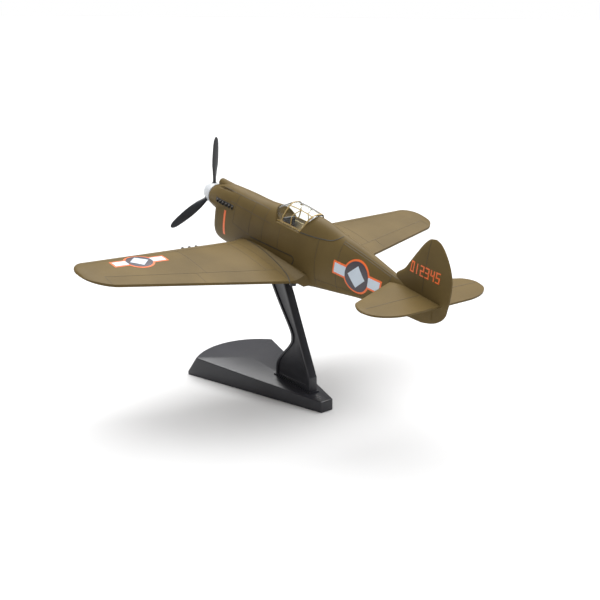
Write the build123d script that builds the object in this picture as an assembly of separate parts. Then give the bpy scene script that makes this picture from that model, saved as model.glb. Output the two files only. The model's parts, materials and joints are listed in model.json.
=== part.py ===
from build123d import *
from math import atan2, cos, degrees, radians, sin, sqrt, tan
import os

# A small display model of a single-engine fighter on a plastic stand, in millimetres.
# +X is the way the nose points, +Y is the pilot's left, +Z is up.
# The origin is the middle of the base's underside.
# The aircraft is drawn in its own axes first: x forward and z up from the tip of the spinner,
# which lies on the propeller's axis. "aft" is a distance behind that tip, so x = -aft.

# ---------------------------------------------------------------- driving dimensions
# Where the aircraft stands
TIP_FORWARD = 33.6          # spinner tip in front of the origin
TIP_HEIGHT = 56.8           # spinner tip above the table
NOSE_UP = 8.7               # degrees

# Fits
JOIN_GAP = 0.05             # between pieces that are glued or clamped
RUNNING_GAP = 0.05          # radial, shaft in its bush
SOCKET_GAP = 0.08           # each side of the stand's peg

# Fuselage
AFT_START = 60.0            # the tapering rear fuselage starts here
AFT_LENGTH = 47.6           # from there to the rudder's trailing edge
HULL_FRONT = 11.5           # front of the full-depth hull, the chin intake's lip
COWL_FRONT = 6.6            # front ring of the cowl, behind the spinner
COWL_RADIUS = 3.55
SKIN = 1.2                  # die-cast wall
CAVITY_FRONT = 19.0
CAVITY_REAR_SHARE = 0.36    # how far the hollow runs into the rear fuselage
SILL = 3.4                  # cockpit sill above the thrust line

# Fin and rudder, measured from the rudder's trailing edge and the thrust line
FIN_THICK = 1.7
FIN_HEIGHT = 17.5
FIN_CHORD = 19.2
RUDDER_HINGE = 8.9
HINGE_GROOVE = 0.3

# Canopy and cockpit
CANOPY_FRONT = 38.4
CANOPY_REAR = 56.0
CANOPY_TOP = 10.1
CANOPY_HALF = 3.3
CANOPY_WALL = 0.5
SCREEN_FOOT_SET = 3.6       # the screen's foot, aft of its foremost point
SCREEN_NOSE_LEVEL = 6.9     # height of the foremost point
BROW_SET = 6.2              # top of the screen, aft of the foremost point
CROWN_SET = 9.6             # highest point of the hood
HOOP_LEAN = 3.3             # how far the rear hoop leans back over its height
TUB_SET = 3.9               # front of the tub, aft of the canopy's foremost point
TUB_LENGTH = 10.0
TUB_HALF = 2.6
TUB_DEPTH = 5.0
TUB_WALL = 0.6
SEAT_WIDTH = 3.0
SEAT_HEIGHT = 5.6
SEAT_BACK_THICK = 0.6
SEAT_DEPTH = 3.0
BOARD_THICK = 0.7           # instrument panel
STICK_SET = 3.9             # control stick, aft of the tub's front

# Wing
SPAN = 126.4
ROOT_LE = 24.4              # leading edge of the root, aft of the spinner tip
ROOT_TE = 58.9
LE_SWEEP = 0.077            # aft per unit of span
TE_SWEEP = 0.229            # forward per unit of span
WING_LEVEL = -9.5
DIHEDRAL = 3.85             # degrees
CENTRE_HALF = 4.5
ROOT_THICK = 4.9
TIP_THICK = 1.7
EDGE_THICK = 0.7            # blunt trailing edge
TIP_ROUND_LE = 4.4          # span taken by the round of the tip, at the leading edge
TIP_ROUND_TE = 7.0
TIP_POINT = 36.2            # aft of the spinner tip

# Wing guns
GUN_FIRST = 18.9
GUN_PITCH = 2.5
GUN_COUNT = 3
GUN_RADIUS = 0.4
GUN_OUT = 2.0
GUN_IN = 2.4

# Undercarriage fairings and wheels, moulded on the wing's underside
GEAR_OUT = 13.5
GEAR_FAIRING_RADIUS = 1.5
GEAR_FAIRING_LENGTH = 13.0
WHEEL_AFT = 43.5
WHEEL_RADIUS = 3.5
WELL_GAP = 0.5
WELL_DEPTH = 0.7

# Tailplane
TAIL_HALF_SPAN = 20.9
TAIL_LEVEL = 1.6
TAIL_CHORD = 17.9
TAIL_END = 2.4              # trailing edge ahead of the rudder's trailing edge
TAIL_SWEEP = 0.36
TAIL_THICK = 1.5
TAB_LENGTH = 7.0
TAB_THICK = 0.8
TAB_REACH = 0.35            # tab's end from the centre plane
TAB_SET = 3.0               # tab's back ahead of the trailing edge

# Belly and its screws
BELLY_FRONT = 28.0
BELLY_REAR = 57.0
SCREW_RADIUS = 0.55
SCREW_HEAD_RADIUS = 1.0
SCREW_HEAD_THICK = 0.7
SCREW_LENGTH = 9.0
SCREW_OUT = 2.2
SCREW_SEAT_DEPTH = 0.4      # seats of the screw heads, above the belly's shoulder
SCREW_POST_HALF = 1.6       # posts left solid round the screws
SCREW_AFT = (31.5, 50.5)

# Propeller group
PROP_AFT = 4.3
PROP_RADIUS = 18.2
BLADE_COUNT = 3
BLADE_FIRST = 88.0          # degrees from the pilot's left towards up
BLADE_WIDTH = 3.0
BLADE_THICK = 0.7
BLADE_TWIST_ROOT = 40.0     # degrees between the blade and the disc
BLADE_TWIST_TIP = 13.0
SHANK_RADIUS = 0.6
HUB_RADIUS = 1.55
HUB_LENGTH = 2.4
SPINNER_LENGTH = 6.2
SPINNER_RADIUS = 3.5
SPINNER_WALL = 0.7
SHAFT_RADIUS = 0.6
SHAFT_END = 17.2
BUSH_RADIUS = 1.5
BUSH_FLANGE_RADIUS = 1.9
BUSH_FLANGE_THICK = 0.6
COLLAR_RADIUS = 1.5
COLLAR_LENGTH = 1.6
END_FLOAT = 0.15            # axial play of the shaft at each end of the bush
BUSH_END = 14.2
SHAFT_BAY_RADIUS = 2.3

# Chin intake
DUCT_TOP = -4.9
DUCT_BOTTOM = -11.9
DUCT_HALF = 3.6
DUCT_DEPTH = 4.2
RADIATOR_THICK = 1.4

# Exhausts
EXHAUST_FRONT = 11.9
EXHAUST_REAR = 21.6
EXHAUST_LEVEL = 0.85
EXHAUST_HEIGHT = 1.5
EXHAUST_COUNT = 6
STUB_RADIUS = 0.42
STUB_OUT = 1.0
EXHAUST_SEAT = 3.15         # depth of the slot, from the centre plane

# Intake scoop on top of the cowl
SCOOP_FRONT = 8.4
SCOOP_REAR = 27.0
SCOOP_RADIUS = 1.35
SCOOP_BORE = 0.85
SCOOP_LEVEL = 4.6

# Stand base
BASE_NARROW = 4.4           # width of the narrow end at the table
BASE_WIDE = 32.0            # width of the wide end at the table
BASE_STRAIGHT = 50.2        # length of the straight sides at the table
BASE_BULGE = 5.7            # rise of the rounded wide end
BASE_LOW = 3.4              # top above the table at the narrow end
BASE_HIGH = 7.1             # and at the wide end
BASE_LIP = 1.0              # upright edge round the foot
BASE_SLOPE = 3.6            # set-back of the sloping wide end
BASE_WALL = 1.4
RIB = 1.0
RIB_PITCH = 9.0
RIB_COUNT = 5
RIB_FIRST = -13.5           # first rib, from the front of the arm's foot

# Stand arm
ARM_THICK = 2.64
ARM_REAR_FOOT = -21.9       # rear edge where it meets the base
ARM_LEAN = 0.470            # forward per unit of height, rear edge
ARM_FRONT_FOOT = -5.2
ARM_FOOT_LEVEL = 5.6        # where the sloping front of the foot starts
ARM_WAIST_LEVEL = 18.9
ARM_WAIST = 4.6             # width at the waist
ARM_TOP_REAR = 44.0         # aft of the spinner tip, in the aircraft's axes
ARM_TOP_FRONT = 35.4
ARM_RIM = 0.9
ARM_RECESS = 0.45
FLANGE_WIDE = 0.9           # flange round the foot
FLANGE_THICK = 0.7
TENON_HEIGHT = 2.4
TENON_INSET = 2.0
TENON_THICK = 1.8
ARM_SCREW_RADIUS = 0.7
ARM_SCREW_HEAD = 1.7
BELLY_SEAT = -13.3          # the arm's shoulder, under the belly
PEG_AFT = 36.9              # front face of the peg
PEG_LENGTH = 5.6
PEG_THICK = 1.9
PEG_HEIGHT = 6.0

# ---------------------------------------------------------------- values that follow
HULL_REAR = AFT_START + AFT_LENGTH
AIRCRAFT = Location((TIP_FORWARD, 0, TIP_HEIGHT), (0, -NOSE_UP, 0))
BASE_BACK = -(BASE_STRAIGHT + BASE_BULGE) / 2
HALF_SPAN = SPAN / 2
TUB_FRONT = CANOPY_FRONT + TUB_SET
TUB_REAR = TUB_FRONT + TUB_LENGTH
ARM_MIDDLE = (ARM_REAR_FOOT + ARM_FRONT_FOOT) / 2
BIG = 200.0


def block(front, back, right, left, low, high):
    """A box between two distances aft, two sides and two heights."""
    box = Box(back - front, left - right, high - low)
    return Pos(-(front + back) / 2, (left + right) / 2, (low + high) / 2) * box


def along_x(radius, front, back, y=0.0, z=0.0):
    """A round bar parallel to the thrust line."""
    bar = Rot(0, 90, 0) * Cylinder(radius, back - front)
    return Pos(-(front + back) / 2, y, z) * bar


def upright(radius, low, high, aft, y=0.0):
    """A round bar parallel to the aircraft's own vertical."""
    return Pos(-aft, y, (low + high) / 2) * Cylinder(radius, high - low)


def mirrored(shape):
    return mirror(shape, about=Plane.XZ)


# ---------------------------------------------------------------- fuselage hull
def aft_share(share):
    return AFT_START + share * AFT_LENGTH


def hull_stations():
    """Distance aft, top, bottom, half width, level of the widest line, fullness."""
    return [
        (HULL_FRONT, 5.6, -12.4, 4.3, -5.6, 2.3),
        (16.0, 5.9, -12.9, 4.7, -4.8, 2.35),
        (24.0, 6.3, -13.2, 4.9, -3.6, 2.3),
        (34.0, 6.6, -13.6, 5.0, -3.0, 2.2),
        (44.0, 7.8, -13.8, 5.0, -3.0, 2.1),
        (55.5, 9.0, -12.4, 4.6, -2.4, 2.0),
        (aft_share(0.16), 7.7, -10.2, 4.0, -1.8, 2.0),
        (aft_share(0.36), 6.3, -8.0, 3.1, -1.1, 2.0),
        (aft_share(0.58), 4.2, -6.3, 2.1, -0.6, 2.0),
        (aft_share(0.80), 2.4, -5.0, 1.2, -0.8, 2.0),
    ]


def half_section(aft, top, bottom, half, level, fullness):
    """Left half of an outline across the hull: a superellipse, its upper and lower parts unequal."""
    power = 2 / fullness
    side = []
    for step in range(9):
        turn = radians(-90 + 22.5 * step)
        reach = top - level if turn > 0 else level - bottom
        y = half * max(cos(turn), 0.0) ** power
        z = level + reach * (1 if turn > 0 else -1) * abs(sin(turn)) ** power
        side.append(Vector(-aft, y, z))
    curve = Spline(*side, tangents=[(0, 1, 0), (0, -1, 0)])
    return Wire([curve, Line(curve @ 1, curve @ 0)])


def make_hull():
    """Left half of the full-depth hull, from the intake lip to the tail."""
    return Solid.make_loft([half_section(*station) for station in hull_stations()])


def make_cavity():
    """Left half of the hollow inside the hull, one wall in from the skin."""
    last = aft_share(CAVITY_REAR_SHARE)
    inner = []
    for aft, top, bottom, half, level, fullness in hull_stations():
        if HULL_FRONT < aft <= last:
            place = max(aft, CAVITY_FRONT)
            inner.append(half_section(place, top - SKIN, bottom + SKIN, half - SKIN, level, fullness))
    return Solid.make_loft(inner, True)


def make_cowl_nose():
    """Left half of the round upper cowl ahead of the intake lip, growing from the spinner ring."""
    ring = half_section(COWL_FRONT, COWL_RADIUS, -COWL_RADIUS, COWL_RADIUS, 0, 2)
    back = half_section(HULL_FRONT + 1.5, 5.2, -4.4, 4.2, 0, 2.1)
    return Solid.make_loft([ring, back], True)


def make_scoop():
    """Left half of the long air scoop along the top of the cowl."""
    mouth = half_section(SCOOP_FRONT, SCOOP_LEVEL + SCOOP_RADIUS, SCOOP_LEVEL - SCOOP_RADIUS,
                         SCOOP_RADIUS, SCOOP_LEVEL, 2)
    tail = half_section(SCOOP_REAR, SCOOP_LEVEL + SCOOP_RADIUS, SCOOP_LEVEL - SCOOP_RADIUS,
                        SCOOP_RADIUS * 0.6, SCOOP_LEVEL, 2)
    return Solid.make_loft([mouth, tail], True)


def fin_outline():
    """Fin and rudder in side view, closed through the tail cone."""
    back = HULL_REAR
    top = FIN_HEIGHT
    front = back - FIN_CHORD
    leading = Spline((-front, 0, 4.0), (-(back - 14.1), 0, 10.6), (-(back - 9.6), 0, top - 0.6),
                     (-(back - 7.5), 0, top))
    trailing = Spline(leading @ 1, (-(back - 3.9), 0, top - 2.4), (-(back - 1.1), 0, 10.9),
                      (-back, 0, 5.0), (-(back - 0.9), 0, -0.8), (-(back - 4.4), 0, -3.8),
                      (-(back - 12.6), 0, -5.3), tangents=[leading % 1, (1, 0, -0.1)])
    closing = Line(trailing @ 1, leading @ 0)
    return make_face([leading, trailing, closing])


def make_fin():
    """Left half of the fin and rudder plate, with the groove of the rudder's hinge line."""
    plate = extrude(fin_outline(), FIN_THICK / 2, dir=(0, 1, 0))
    hinge = RUDDER_HINGE
    return plate - block(HULL_REAR - hinge, HULL_REAR - hinge + HINGE_GROOVE, FIN_THICK / 2 - HINGE_GROOVE,
                         FIN_THICK, 2.6, FIN_HEIGHT)


# ---------------------------------------------------------------- wing
def wing_level(y):
    return WING_LEVEL + max(abs(y) - CENTRE_HALF, 0) * tan(radians(DIHEDRAL))


def leading_edge(y):
    return ROOT_LE + LE_SWEEP * abs(y)


def trailing_edge(y):
    return ROOT_TE - TE_SWEEP * abs(y)


def aerofoil(y, level, front, back, thick, blunt, above=0.6):
    """Wing section at a span station: a four-digit thickness law, fuller above the chord."""
    chord = back - front
    shares = [1.0, 0.8, 0.6, 0.4, 0.25, 0.12, 0.04]

    def height(share):
        law = 1.4845 * sqrt(share) - 0.63 * share - 1.758 * share ** 2
        law += 1.4215 * share ** 3 - 0.518 * share ** 4
        return thick * law + blunt / 2 * share

    upper = [(-(front + s * chord), y, level + 2 * above * height(s)) for s in shares]
    nose = [(-front, y, level)]
    lower = [(-(front + s * chord), y, level - 2 * (1 - above) * height(s)) for s in reversed(shares)]
    curve = Spline(*(upper + nose + lower))
    return Wire([curve, Line(curve @ 1, curve @ 0)])


def wing_planform():
    """Left wing seen from above: straight edges and a rounded tip."""
    le_end = HALF_SPAN - TIP_ROUND_LE
    te_end = HALF_SPAN - TIP_ROUND_TE
    start = (-leading_edge(0) + 1, 0, 0)
    front = Line(start, (-leading_edge(le_end), le_end, 0))
    tip = Spline(front @ 1, (-TIP_POINT, HALF_SPAN, 0), (-trailing_edge(te_end), te_end, 0),
                 tangents=[(-LE_SWEEP, 1, 0), (-TE_SWEEP, -1, 0)])
    back = Line(tip @ 1, (-trailing_edge(0) - 1, 0, 0))
    root = Line(back @ 1, front @ 0)
    return make_face([front, tip, back, root])


def make_gear_fairing():
    """The teardrop fairing under the leading edge, and its wheel lying flat in a shallow well."""
    front = leading_edge(GEAR_OUT) + 0.4
    level = wing_level(GEAR_OUT) - ROOT_THICK * 0.25
    back = front + GEAR_FAIRING_LENGTH
    outline = Spline((-front, GEAR_OUT, level), (-front - 4, GEAR_OUT, level - GEAR_FAIRING_RADIUS),
                     (-back, GEAR_OUT, level))
    face = make_face([outline, Line(outline @ 1, outline @ 0)])
    axis = Axis((-front, GEAR_OUT, level), (1, 0, 0))
    return revolve(face, axis, 360)


def make_wheel_well():
    """The ring cut round each retracted wheel."""
    low = wing_level(GEAR_OUT) - ROOT_THICK
    high = wing_level(GEAR_OUT) - ROOT_THICK * 0.4 + WELL_DEPTH
    outer = upright(WHEEL_RADIUS + WELL_GAP, low, high, WHEEL_AFT, GEAR_OUT)
    return outer - upright(WHEEL_RADIUS, low, high, WHEEL_AFT, GEAR_OUT)


def gun_places():
    return [GUN_FIRST + GUN_PITCH * index for index in range(GUN_COUNT)]


def make_wing_panel():
    root = aerofoil(CENTRE_HALF, wing_level(CENTRE_HALF), leading_edge(CENTRE_HALF),
                    trailing_edge(CENTRE_HALF), ROOT_THICK, EDGE_THICK)
    tip_y = HALF_SPAN + 1
    tip = aerofoil(tip_y, wing_level(tip_y), leading_edge(tip_y), trailing_edge(tip_y),
                   TIP_THICK, EDGE_THICK)
    panel = Solid.make_loft([root, tip], True)
    column = Pos(0, 0, -BIG / 2) * extrude(wing_planform(), BIG, dir=(0, 0, 1))
    panel = (panel & column) + make_gear_fairing() - make_wheel_well()
    for y in gun_places():
        panel -= along_x(GUN_RADIUS + JOIN_GAP, leading_edge(y) - 2, leading_edge(y) + GUN_IN, y,
                         wing_level(y))
    return panel


def make_wing_blank():
    """Both panels and the flat centre section, before the slot and the screw holes."""
    panel = make_wing_panel()
    half = aerofoil(CENTRE_HALF, WING_LEVEL, leading_edge(CENTRE_HALF), trailing_edge(CENTRE_HALF),
                    ROOT_THICK, EDGE_THICK)
    centre = extrude(Face(half), CENTRE_HALF * 2, dir=(0, -1, 0))
    return centre + panel + mirrored(panel)


# ---------------------------------------------------------------- cuts shared by several pieces
def belly_region():
    """The underside between the wing's edges that belongs to the belly fairing."""
    return block(BELLY_FRONT, BELLY_REAR, -BIG, BIG, -BIG, WING_LEVEL)


def peg_slot():
    gap = SOCKET_GAP
    return block(PEG_AFT - gap, PEG_AFT + PEG_LENGTH + gap, -PEG_THICK / 2 - gap,
                 PEG_THICK / 2 + gap, BELLY_SEAT - 2, BELLY_SEAT + PEG_HEIGHT + 4 * gap)


def screw_places():
    return [(aft, side * SCREW_OUT) for aft in SCREW_AFT for side in (1, -1)]


def screw_seat():
    """Height of the underside of the screw heads."""
    return BELLY_SEAT + SCREW_SEAT_DEPTH


def screw_holes():
    holes = Part()
    for aft, y in screw_places():
        seat = screw_seat()
        holes += upright(SCREW_RADIUS + JOIN_GAP, seat, seat + SCREW_LENGTH + JOIN_GAP, aft, y)
        holes += upright(SCREW_HEAD_RADIUS + JOIN_GAP, -BIG / 4, seat, aft, y)
    return holes


def canopy_profile(inset, floor):
    """Canopy in side view: raked screen, gently bowed roof, rear hoop leaning back."""
    front_foot = (-(CANOPY_FRONT + SCREEN_FOOT_SET + inset), 0, floor)
    nose = (-(CANOPY_FRONT + inset), 0, SCREEN_NOSE_LEVEL - inset)
    brow = (-(CANOPY_FRONT + BROW_SET + inset), 0, CANOPY_TOP - 0.35 - inset)
    crown = (-(CANOPY_FRONT + CROWN_SET), 0, CANOPY_TOP - inset)
    rear_top = (-(CANOPY_REAR - inset), 0, CANOPY_TOP - 0.8 - inset)
    rear_foot = (-(CANOPY_REAR - HOOP_LEAN - inset), 0, floor)
    roof = Spline(brow, crown, rear_top)
    lines = [Line(front_foot, nose), Line(nose, brow), roof, Line(rear_top, rear_foot),
             Line(rear_foot, front_foot)]
    return extrude(make_face(lines), BIG / 4, dir=(0, 1, 0), both=True)


def canopy_tunnel(inset):
    """Canopy seen from the front, as a long arch with upright sides."""
    half = CANOPY_HALF - inset
    shoulder = CANOPY_TOP - 2.6
    base = SILL - 1.0
    left = Line((0, half, base), (0, half - 0.25, shoulder - 0.8))
    arch = Spline(left @ 1, (0, half * 0.72, CANOPY_TOP - 0.75 - inset), (0, 0, CANOPY_TOP - inset),
                  (0, -half * 0.72, CANOPY_TOP - 0.75 - inset), (0, -half + 0.25, shoulder - 0.8),
                  tangents=[(0, -0.1, 1), (0, -0.1, -1)])
    right = Line(arch @ 1, (0, -half, base))
    floor = Line(right @ 1, left @ 0)
    face = make_face([left, arch, right, floor])
    return extrude(face, CANOPY_REAR + 8, dir=(-1, 0, 0))


def canopy_envelope(inset, floor):
    return canopy_tunnel(inset) & canopy_profile(inset, floor)


# ---------------------------------------------------------------- aircraft pieces
def make_fuselage_left(hull, wing_blank):
    """Left die-cast half shell; the halves meet on the centre plane and sit over the wing."""
    half = hull + make_cowl_nose() + make_scoop() + make_fin()
    cavity = make_cavity()
    for aft in SCREW_AFT:
        cavity -= block(aft - SCREW_POST_HALF, aft + SCREW_POST_HALF, 0.5, 8, -20,
                        screw_seat() + SCREW_LENGTH + 1)
    half -= cavity
    half -= along_x(SHAFT_BAY_RADIUS, BUSH_END - BUSH_FLANGE_THICK - JOIN_GAP, CAVITY_FRONT + 1)
    half -= along_x(BUSH_RADIUS + JOIN_GAP, 0, CAVITY_FRONT)
    half -= along_x(SCOOP_BORE, 0, SCOOP_FRONT + 3.5, 0, SCOOP_LEVEL)
    half -= duct_pocket(0)
    half -= wing_blank
    half -= belly_region()
    half -= screw_holes()
    half -= canopy_profile(-JOIN_GAP, SILL)
    half -= cockpit_hole(JOIN_GAP)
    half -= exhaust_slot()
    return half - tail_tab(JOIN_GAP)


def make_belly(hull, wing_blank):
    """The underside fairing, with the mouth of the stand's socket and the screw seats."""
    half = (hull & belly_region()) - wing_blank
    belly = half + mirrored(half)
    belly -= peg_slot()
    gap = SOCKET_GAP
    belly -= block(ARM_TOP_FRONT - gap, ARM_TOP_REAR + gap, -ARM_THICK / 2 - gap,
                   ARM_THICK / 2 + gap, -BIG, BELLY_SEAT)
    return belly - screw_holes()


def make_wing(wing_blank):
    return wing_blank - peg_slot() - screw_holes()


def make_screws():
    """Four self-tapping screws that clamp belly, wing and fuselage together."""
    screws = []
    for aft, y in screw_places():
        seat = screw_seat()
        screw = upright(SCREW_RADIUS, seat, seat + SCREW_LENGTH, aft, y)
        screw += upright(SCREW_HEAD_RADIUS, seat - SCREW_HEAD_THICK, seat, aft, y)
        screw -= block(aft - 0.8, aft + 0.8, y - 0.12, y + 0.12, seat - 1, seat - SCREW_HEAD_THICK / 2)
        screws.append(screw)
    return screws


def tailplane_planform(root):
    """Left tailplane from above: swept leading edge, straight trailing edge, round tip."""
    back = HULL_REAR - TAIL_END
    front = back - TAIL_CHORD
    le_y = TAIL_HALF_SPAN - 2.8
    te_y = TAIL_HALF_SPAN - 11.0
    leading = Line((-(front + TAIL_SWEEP * root), root, 0), (-(front + TAIL_SWEEP * le_y), le_y, 0))
    tip = Spline(leading @ 1, (-(back - 6.8), TAIL_HALF_SPAN, 0), (-back, te_y, 0),
                 tangents=[(-TAIL_SWEEP, 1, 0), (0, -1, 0)])
    trailing = Line(tip @ 1, (-back, root, 0))
    return make_face([leading, tip, trailing, Line(trailing @ 1, leading @ 0)])


def tail_root():
    """Distance from the centre plane where the tailplane meets the hull."""
    return FIN_THICK / 2 + JOIN_GAP


def tail_tab(gap):
    back = HULL_REAR - TAIL_END - TAB_SET
    half = TAB_THICK / 2 + gap
    return block(back - TAB_LENGTH - gap, back + gap, TAB_REACH - gap, 4, TAIL_LEVEL - half,
                 TAIL_LEVEL + half)


def make_tailplane(hull):
    """Left tailplane with its root tab, trimmed to the side of the hull."""
    front = HULL_REAR - TAIL_END - TAIL_CHORD
    back = HULL_REAR - TAIL_END
    root = aerofoil(0, TAIL_LEVEL, front, back, TAIL_THICK, EDGE_THICK, 0.5)
    far = TAIL_HALF_SPAN + 1
    tip = aerofoil(far, TAIL_LEVEL, front + TAIL_SWEEP * far, back, TAIL_THICK * 0.6, EDGE_THICK, 0.5)
    panel = Solid.make_loft([root, tip], True)
    column = Pos(0, 0, -BIG / 2) * extrude(tailplane_planform(tail_root()), BIG, dir=(0, 0, 1))
    panel = (panel & column) - hull
    return panel + tail_tab(0)


def exhaust_slot():
    return block(EXHAUST_FRONT, EXHAUST_REAR, EXHAUST_SEAT, 8, EXHAUST_LEVEL - EXHAUST_HEIGHT / 2,
                 EXHAUST_LEVEL + EXHAUST_HEIGHT / 2)


def make_exhausts():
    """A strip let into the cowl with a row of swept stub pipes."""
    gap = JOIN_GAP
    strip = block(EXHAUST_FRONT + gap, EXHAUST_REAR - gap, EXHAUST_SEAT, EXHAUST_SEAT + 0.8,
                  EXHAUST_LEVEL - EXHAUST_HEIGHT / 2 + gap, EXHAUST_LEVEL + EXHAUST_HEIGHT / 2 - gap)
    pitch = (EXHAUST_REAR - EXHAUST_FRONT) / EXHAUST_COUNT
    for index in range(EXHAUST_COUNT):
        aft = EXHAUST_FRONT + pitch * (index + 0.35)
        stub = Cylinder(STUB_RADIUS, 1.6 + STUB_OUT, align=(Align.CENTER, Align.CENTER, Align.MIN))
        stub = Pos(-aft, EXHAUST_SEAT + 0.4, EXHAUST_LEVEL) * Rot(0, -90, 0) * Rot(-55, 0, 0) * stub
        strip += stub
    return strip & block(EXHAUST_FRONT + gap, EXHAUST_REAR + 3, EXHAUST_SEAT, 8, -3, 4)


def make_guns():
    """Three plain barrels in one wing's leading edge."""
    return [along_x(GUN_RADIUS, leading_edge(y) - GUN_OUT, leading_edge(y) + GUN_IN, y, wing_level(y))
            for y in gun_places()]


def duct_pocket(inset):
    """The smile-shaped duct in the chin."""
    half = DUCT_HALF - inset
    top = DUCT_TOP - inset
    bottom = DUCT_BOTTOM + inset
    mouth = half_section(HULL_FRONT - 1, top, bottom, half, (top + bottom) / 2, 2.4)
    end = half_section(HULL_FRONT + DUCT_DEPTH, top, bottom, half, (top + bottom) / 2, 2.4)
    pocket = Solid.make_loft([mouth, end], True)
    return pocket + mirrored(pocket)


def make_radiator():
    """The insert at the back of the duct: two round matrices over a smaller one."""
    back = HULL_FRONT + DUCT_DEPTH
    plug = duct_pocket(JOIN_GAP) & block(back - RADIATOR_THICK, back, -8, 8, -20, 0)
    middle = (DUCT_TOP + DUCT_BOTTOM) / 2
    for radius, y, z in ((1.35, 1.6, middle + 1.1), (1.35, -1.6, middle + 1.1), (1.0, 0, middle - 1.7)):
        plug -= along_x(radius, back - RADIATOR_THICK - 1, back - RADIATOR_THICK + 0.6, y, z)
    return plug


def cockpit_hole(gap):
    """The opening under the canopy that the tub drops into."""
    return block(TUB_FRONT - gap, TUB_REAR + gap, -TUB_HALF - gap, TUB_HALF + gap,
                 SILL - TUB_DEPTH - gap, SILL + 1)


def make_tub():
    """An open tray that carries the seat, the panel and the stick."""
    inner = TUB_HALF - TUB_WALL
    tray = block(TUB_FRONT, TUB_REAR, -TUB_HALF, TUB_HALF, SILL - TUB_DEPTH, SILL)
    return tray - block(TUB_FRONT + TUB_WALL, TUB_REAR - TUB_WALL, -inner, inner, cockpit_floor(), SILL + 1)


def cockpit_floor():
    return SILL - TUB_DEPTH + TUB_WALL


def make_seat():
    """A bucket seat: pan, two cheeks and a back with a round top."""
    back = TUB_REAR - TUB_WALL - JOIN_GAP - SEAT_BACK_THICK
    half = SEAT_WIDTH / 2
    floor = cockpit_floor()
    pan = block(back - SEAT_DEPTH, back, -half, half, floor, floor + 1.1)
    rest_face = make_face([
        Line((-back, half, floor), (-back, half, floor + SEAT_HEIGHT - half)),
        ThreePointArc((-back, half, floor + SEAT_HEIGHT - half), (-back, 0, floor + SEAT_HEIGHT),
                      (-back, -half, floor + SEAT_HEIGHT - half)),
        Line((-back, -half, floor + SEAT_HEIGHT - half), (-back, -half, floor)),
        Line((-back, -half, floor), (-back, half, floor))])
    rest = extrude(rest_face, SEAT_BACK_THICK, dir=(1, 0, 0))
    cheeks = block(back - SEAT_DEPTH * 0.8, back, -half, half, floor, floor + 2.2)
    cheeks -= block(back - SEAT_DEPTH, back - SEAT_BACK_THICK, -half + 0.4, half - 0.4, floor + 1.1,
                    floor + 3)
    return pan + rest + cheeks


def make_instrument_panel():
    """The board under the windscreen, with its round instruments as shallow pits."""
    front = TUB_FRONT + TUB_WALL + JOIN_GAP
    half = TUB_HALF - TUB_WALL - JOIN_GAP
    board = block(front, front + BOARD_THICK, -half, half, cockpit_floor(), SILL + 1.2)
    for y in (-1.1, 0, 1.1):
        for z in (SILL - 0.9, SILL + 0.3):
            board -= along_x(0.35, front + BOARD_THICK - 0.2, front + 1, y, z)
    return board


def make_stick():
    """Control stick with its boot and grip."""
    aft = TUB_FRONT + STICK_SET
    floor = cockpit_floor()
    return (upright(0.55, floor, floor + 0.4, aft) + upright(0.22, floor, floor + 2.3, aft)
            + upright(0.34, floor + 1.9, floor + 2.7, aft))


def make_canopy():
    """The clear moulding: screen, sliding hood and its rear hoop in one shell."""
    shell = canopy_envelope(0, SILL) - canopy_envelope(CANOPY_WALL, SILL - 1)
    open_floor = block(CANOPY_FRONT + SCREEN_FOOT_SET + 0.6, CANOPY_REAR - HOOP_LEAN - 0.6, -TUB_HALF,
                       TUB_HALF, SILL - 2, SILL + 1)
    return shell - open_floor


# ---------------------------------------------------------------- propeller pieces
def spinner_curve(length, radius):
    """Half outline of a pointed ogive, tip first."""
    points = []
    for step in range(5):
        share = step / 4
        points.append((-length * share, 0, radius * sin(radians(90 * share ** 0.62))))
    return points


def spinner_solid(length, radius, tip):
    curve = Spline(*spinner_curve(length, radius), tangents=[(-0.35, 0, 1), (-1, 0, 0)])
    base = Line(curve @ 1, (-length, 0, 0))
    axis = Line(base @ 1, curve @ 0)
    return Pos(-tip, 0, 0) * revolve(make_face([curve, base, axis]), Axis.X, 360)


def blade_turns():
    return [BLADE_FIRST + 360 / BLADE_COUNT * index for index in range(BLADE_COUNT)]


def spun(shape, turn):
    """Turn a piece drawn pointing along +Y round the thrust line, towards up."""
    return Rot(turn, 0, 0) * shape


def make_spinner():
    shell = spinner_solid(SPINNER_LENGTH, SPINNER_RADIUS, 0)
    hollow = spinner_solid(SPINNER_LENGTH, SPINNER_RADIUS - SPINNER_WALL, SPINNER_WALL * 1.6)
    shell -= hollow
    boss = along_x(SHAFT_RADIUS + SPINNER_WALL, SPINNER_WALL, PROP_AFT - HUB_LENGTH / 2 - JOIN_GAP)
    shell += boss & spinner_solid(SPINNER_LENGTH, SPINNER_RADIUS, 0)
    shell -= along_x(SHAFT_RADIUS + JOIN_GAP / 2, 1.9, SPINNER_LENGTH)
    for turn in blade_turns():
        hole = Rot(-90, 0, 0) * Cylinder(SHANK_RADIUS + 2 * JOIN_GAP, 8,
                                        align=(Align.CENTER, Align.CENTER, Align.MIN))
        notch = block(PROP_AFT, SPINNER_LENGTH + 1, -SHANK_RADIUS - 2 * JOIN_GAP,
                      SHANK_RADIUS + 2 * JOIN_GAP, 0, 8)
        shell -= spun(Pos(-PROP_AFT, 0, 0) * hole, turn)
        shell -= spun(Rot(-90, 0, 0) * notch, turn)
    return shell


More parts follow.
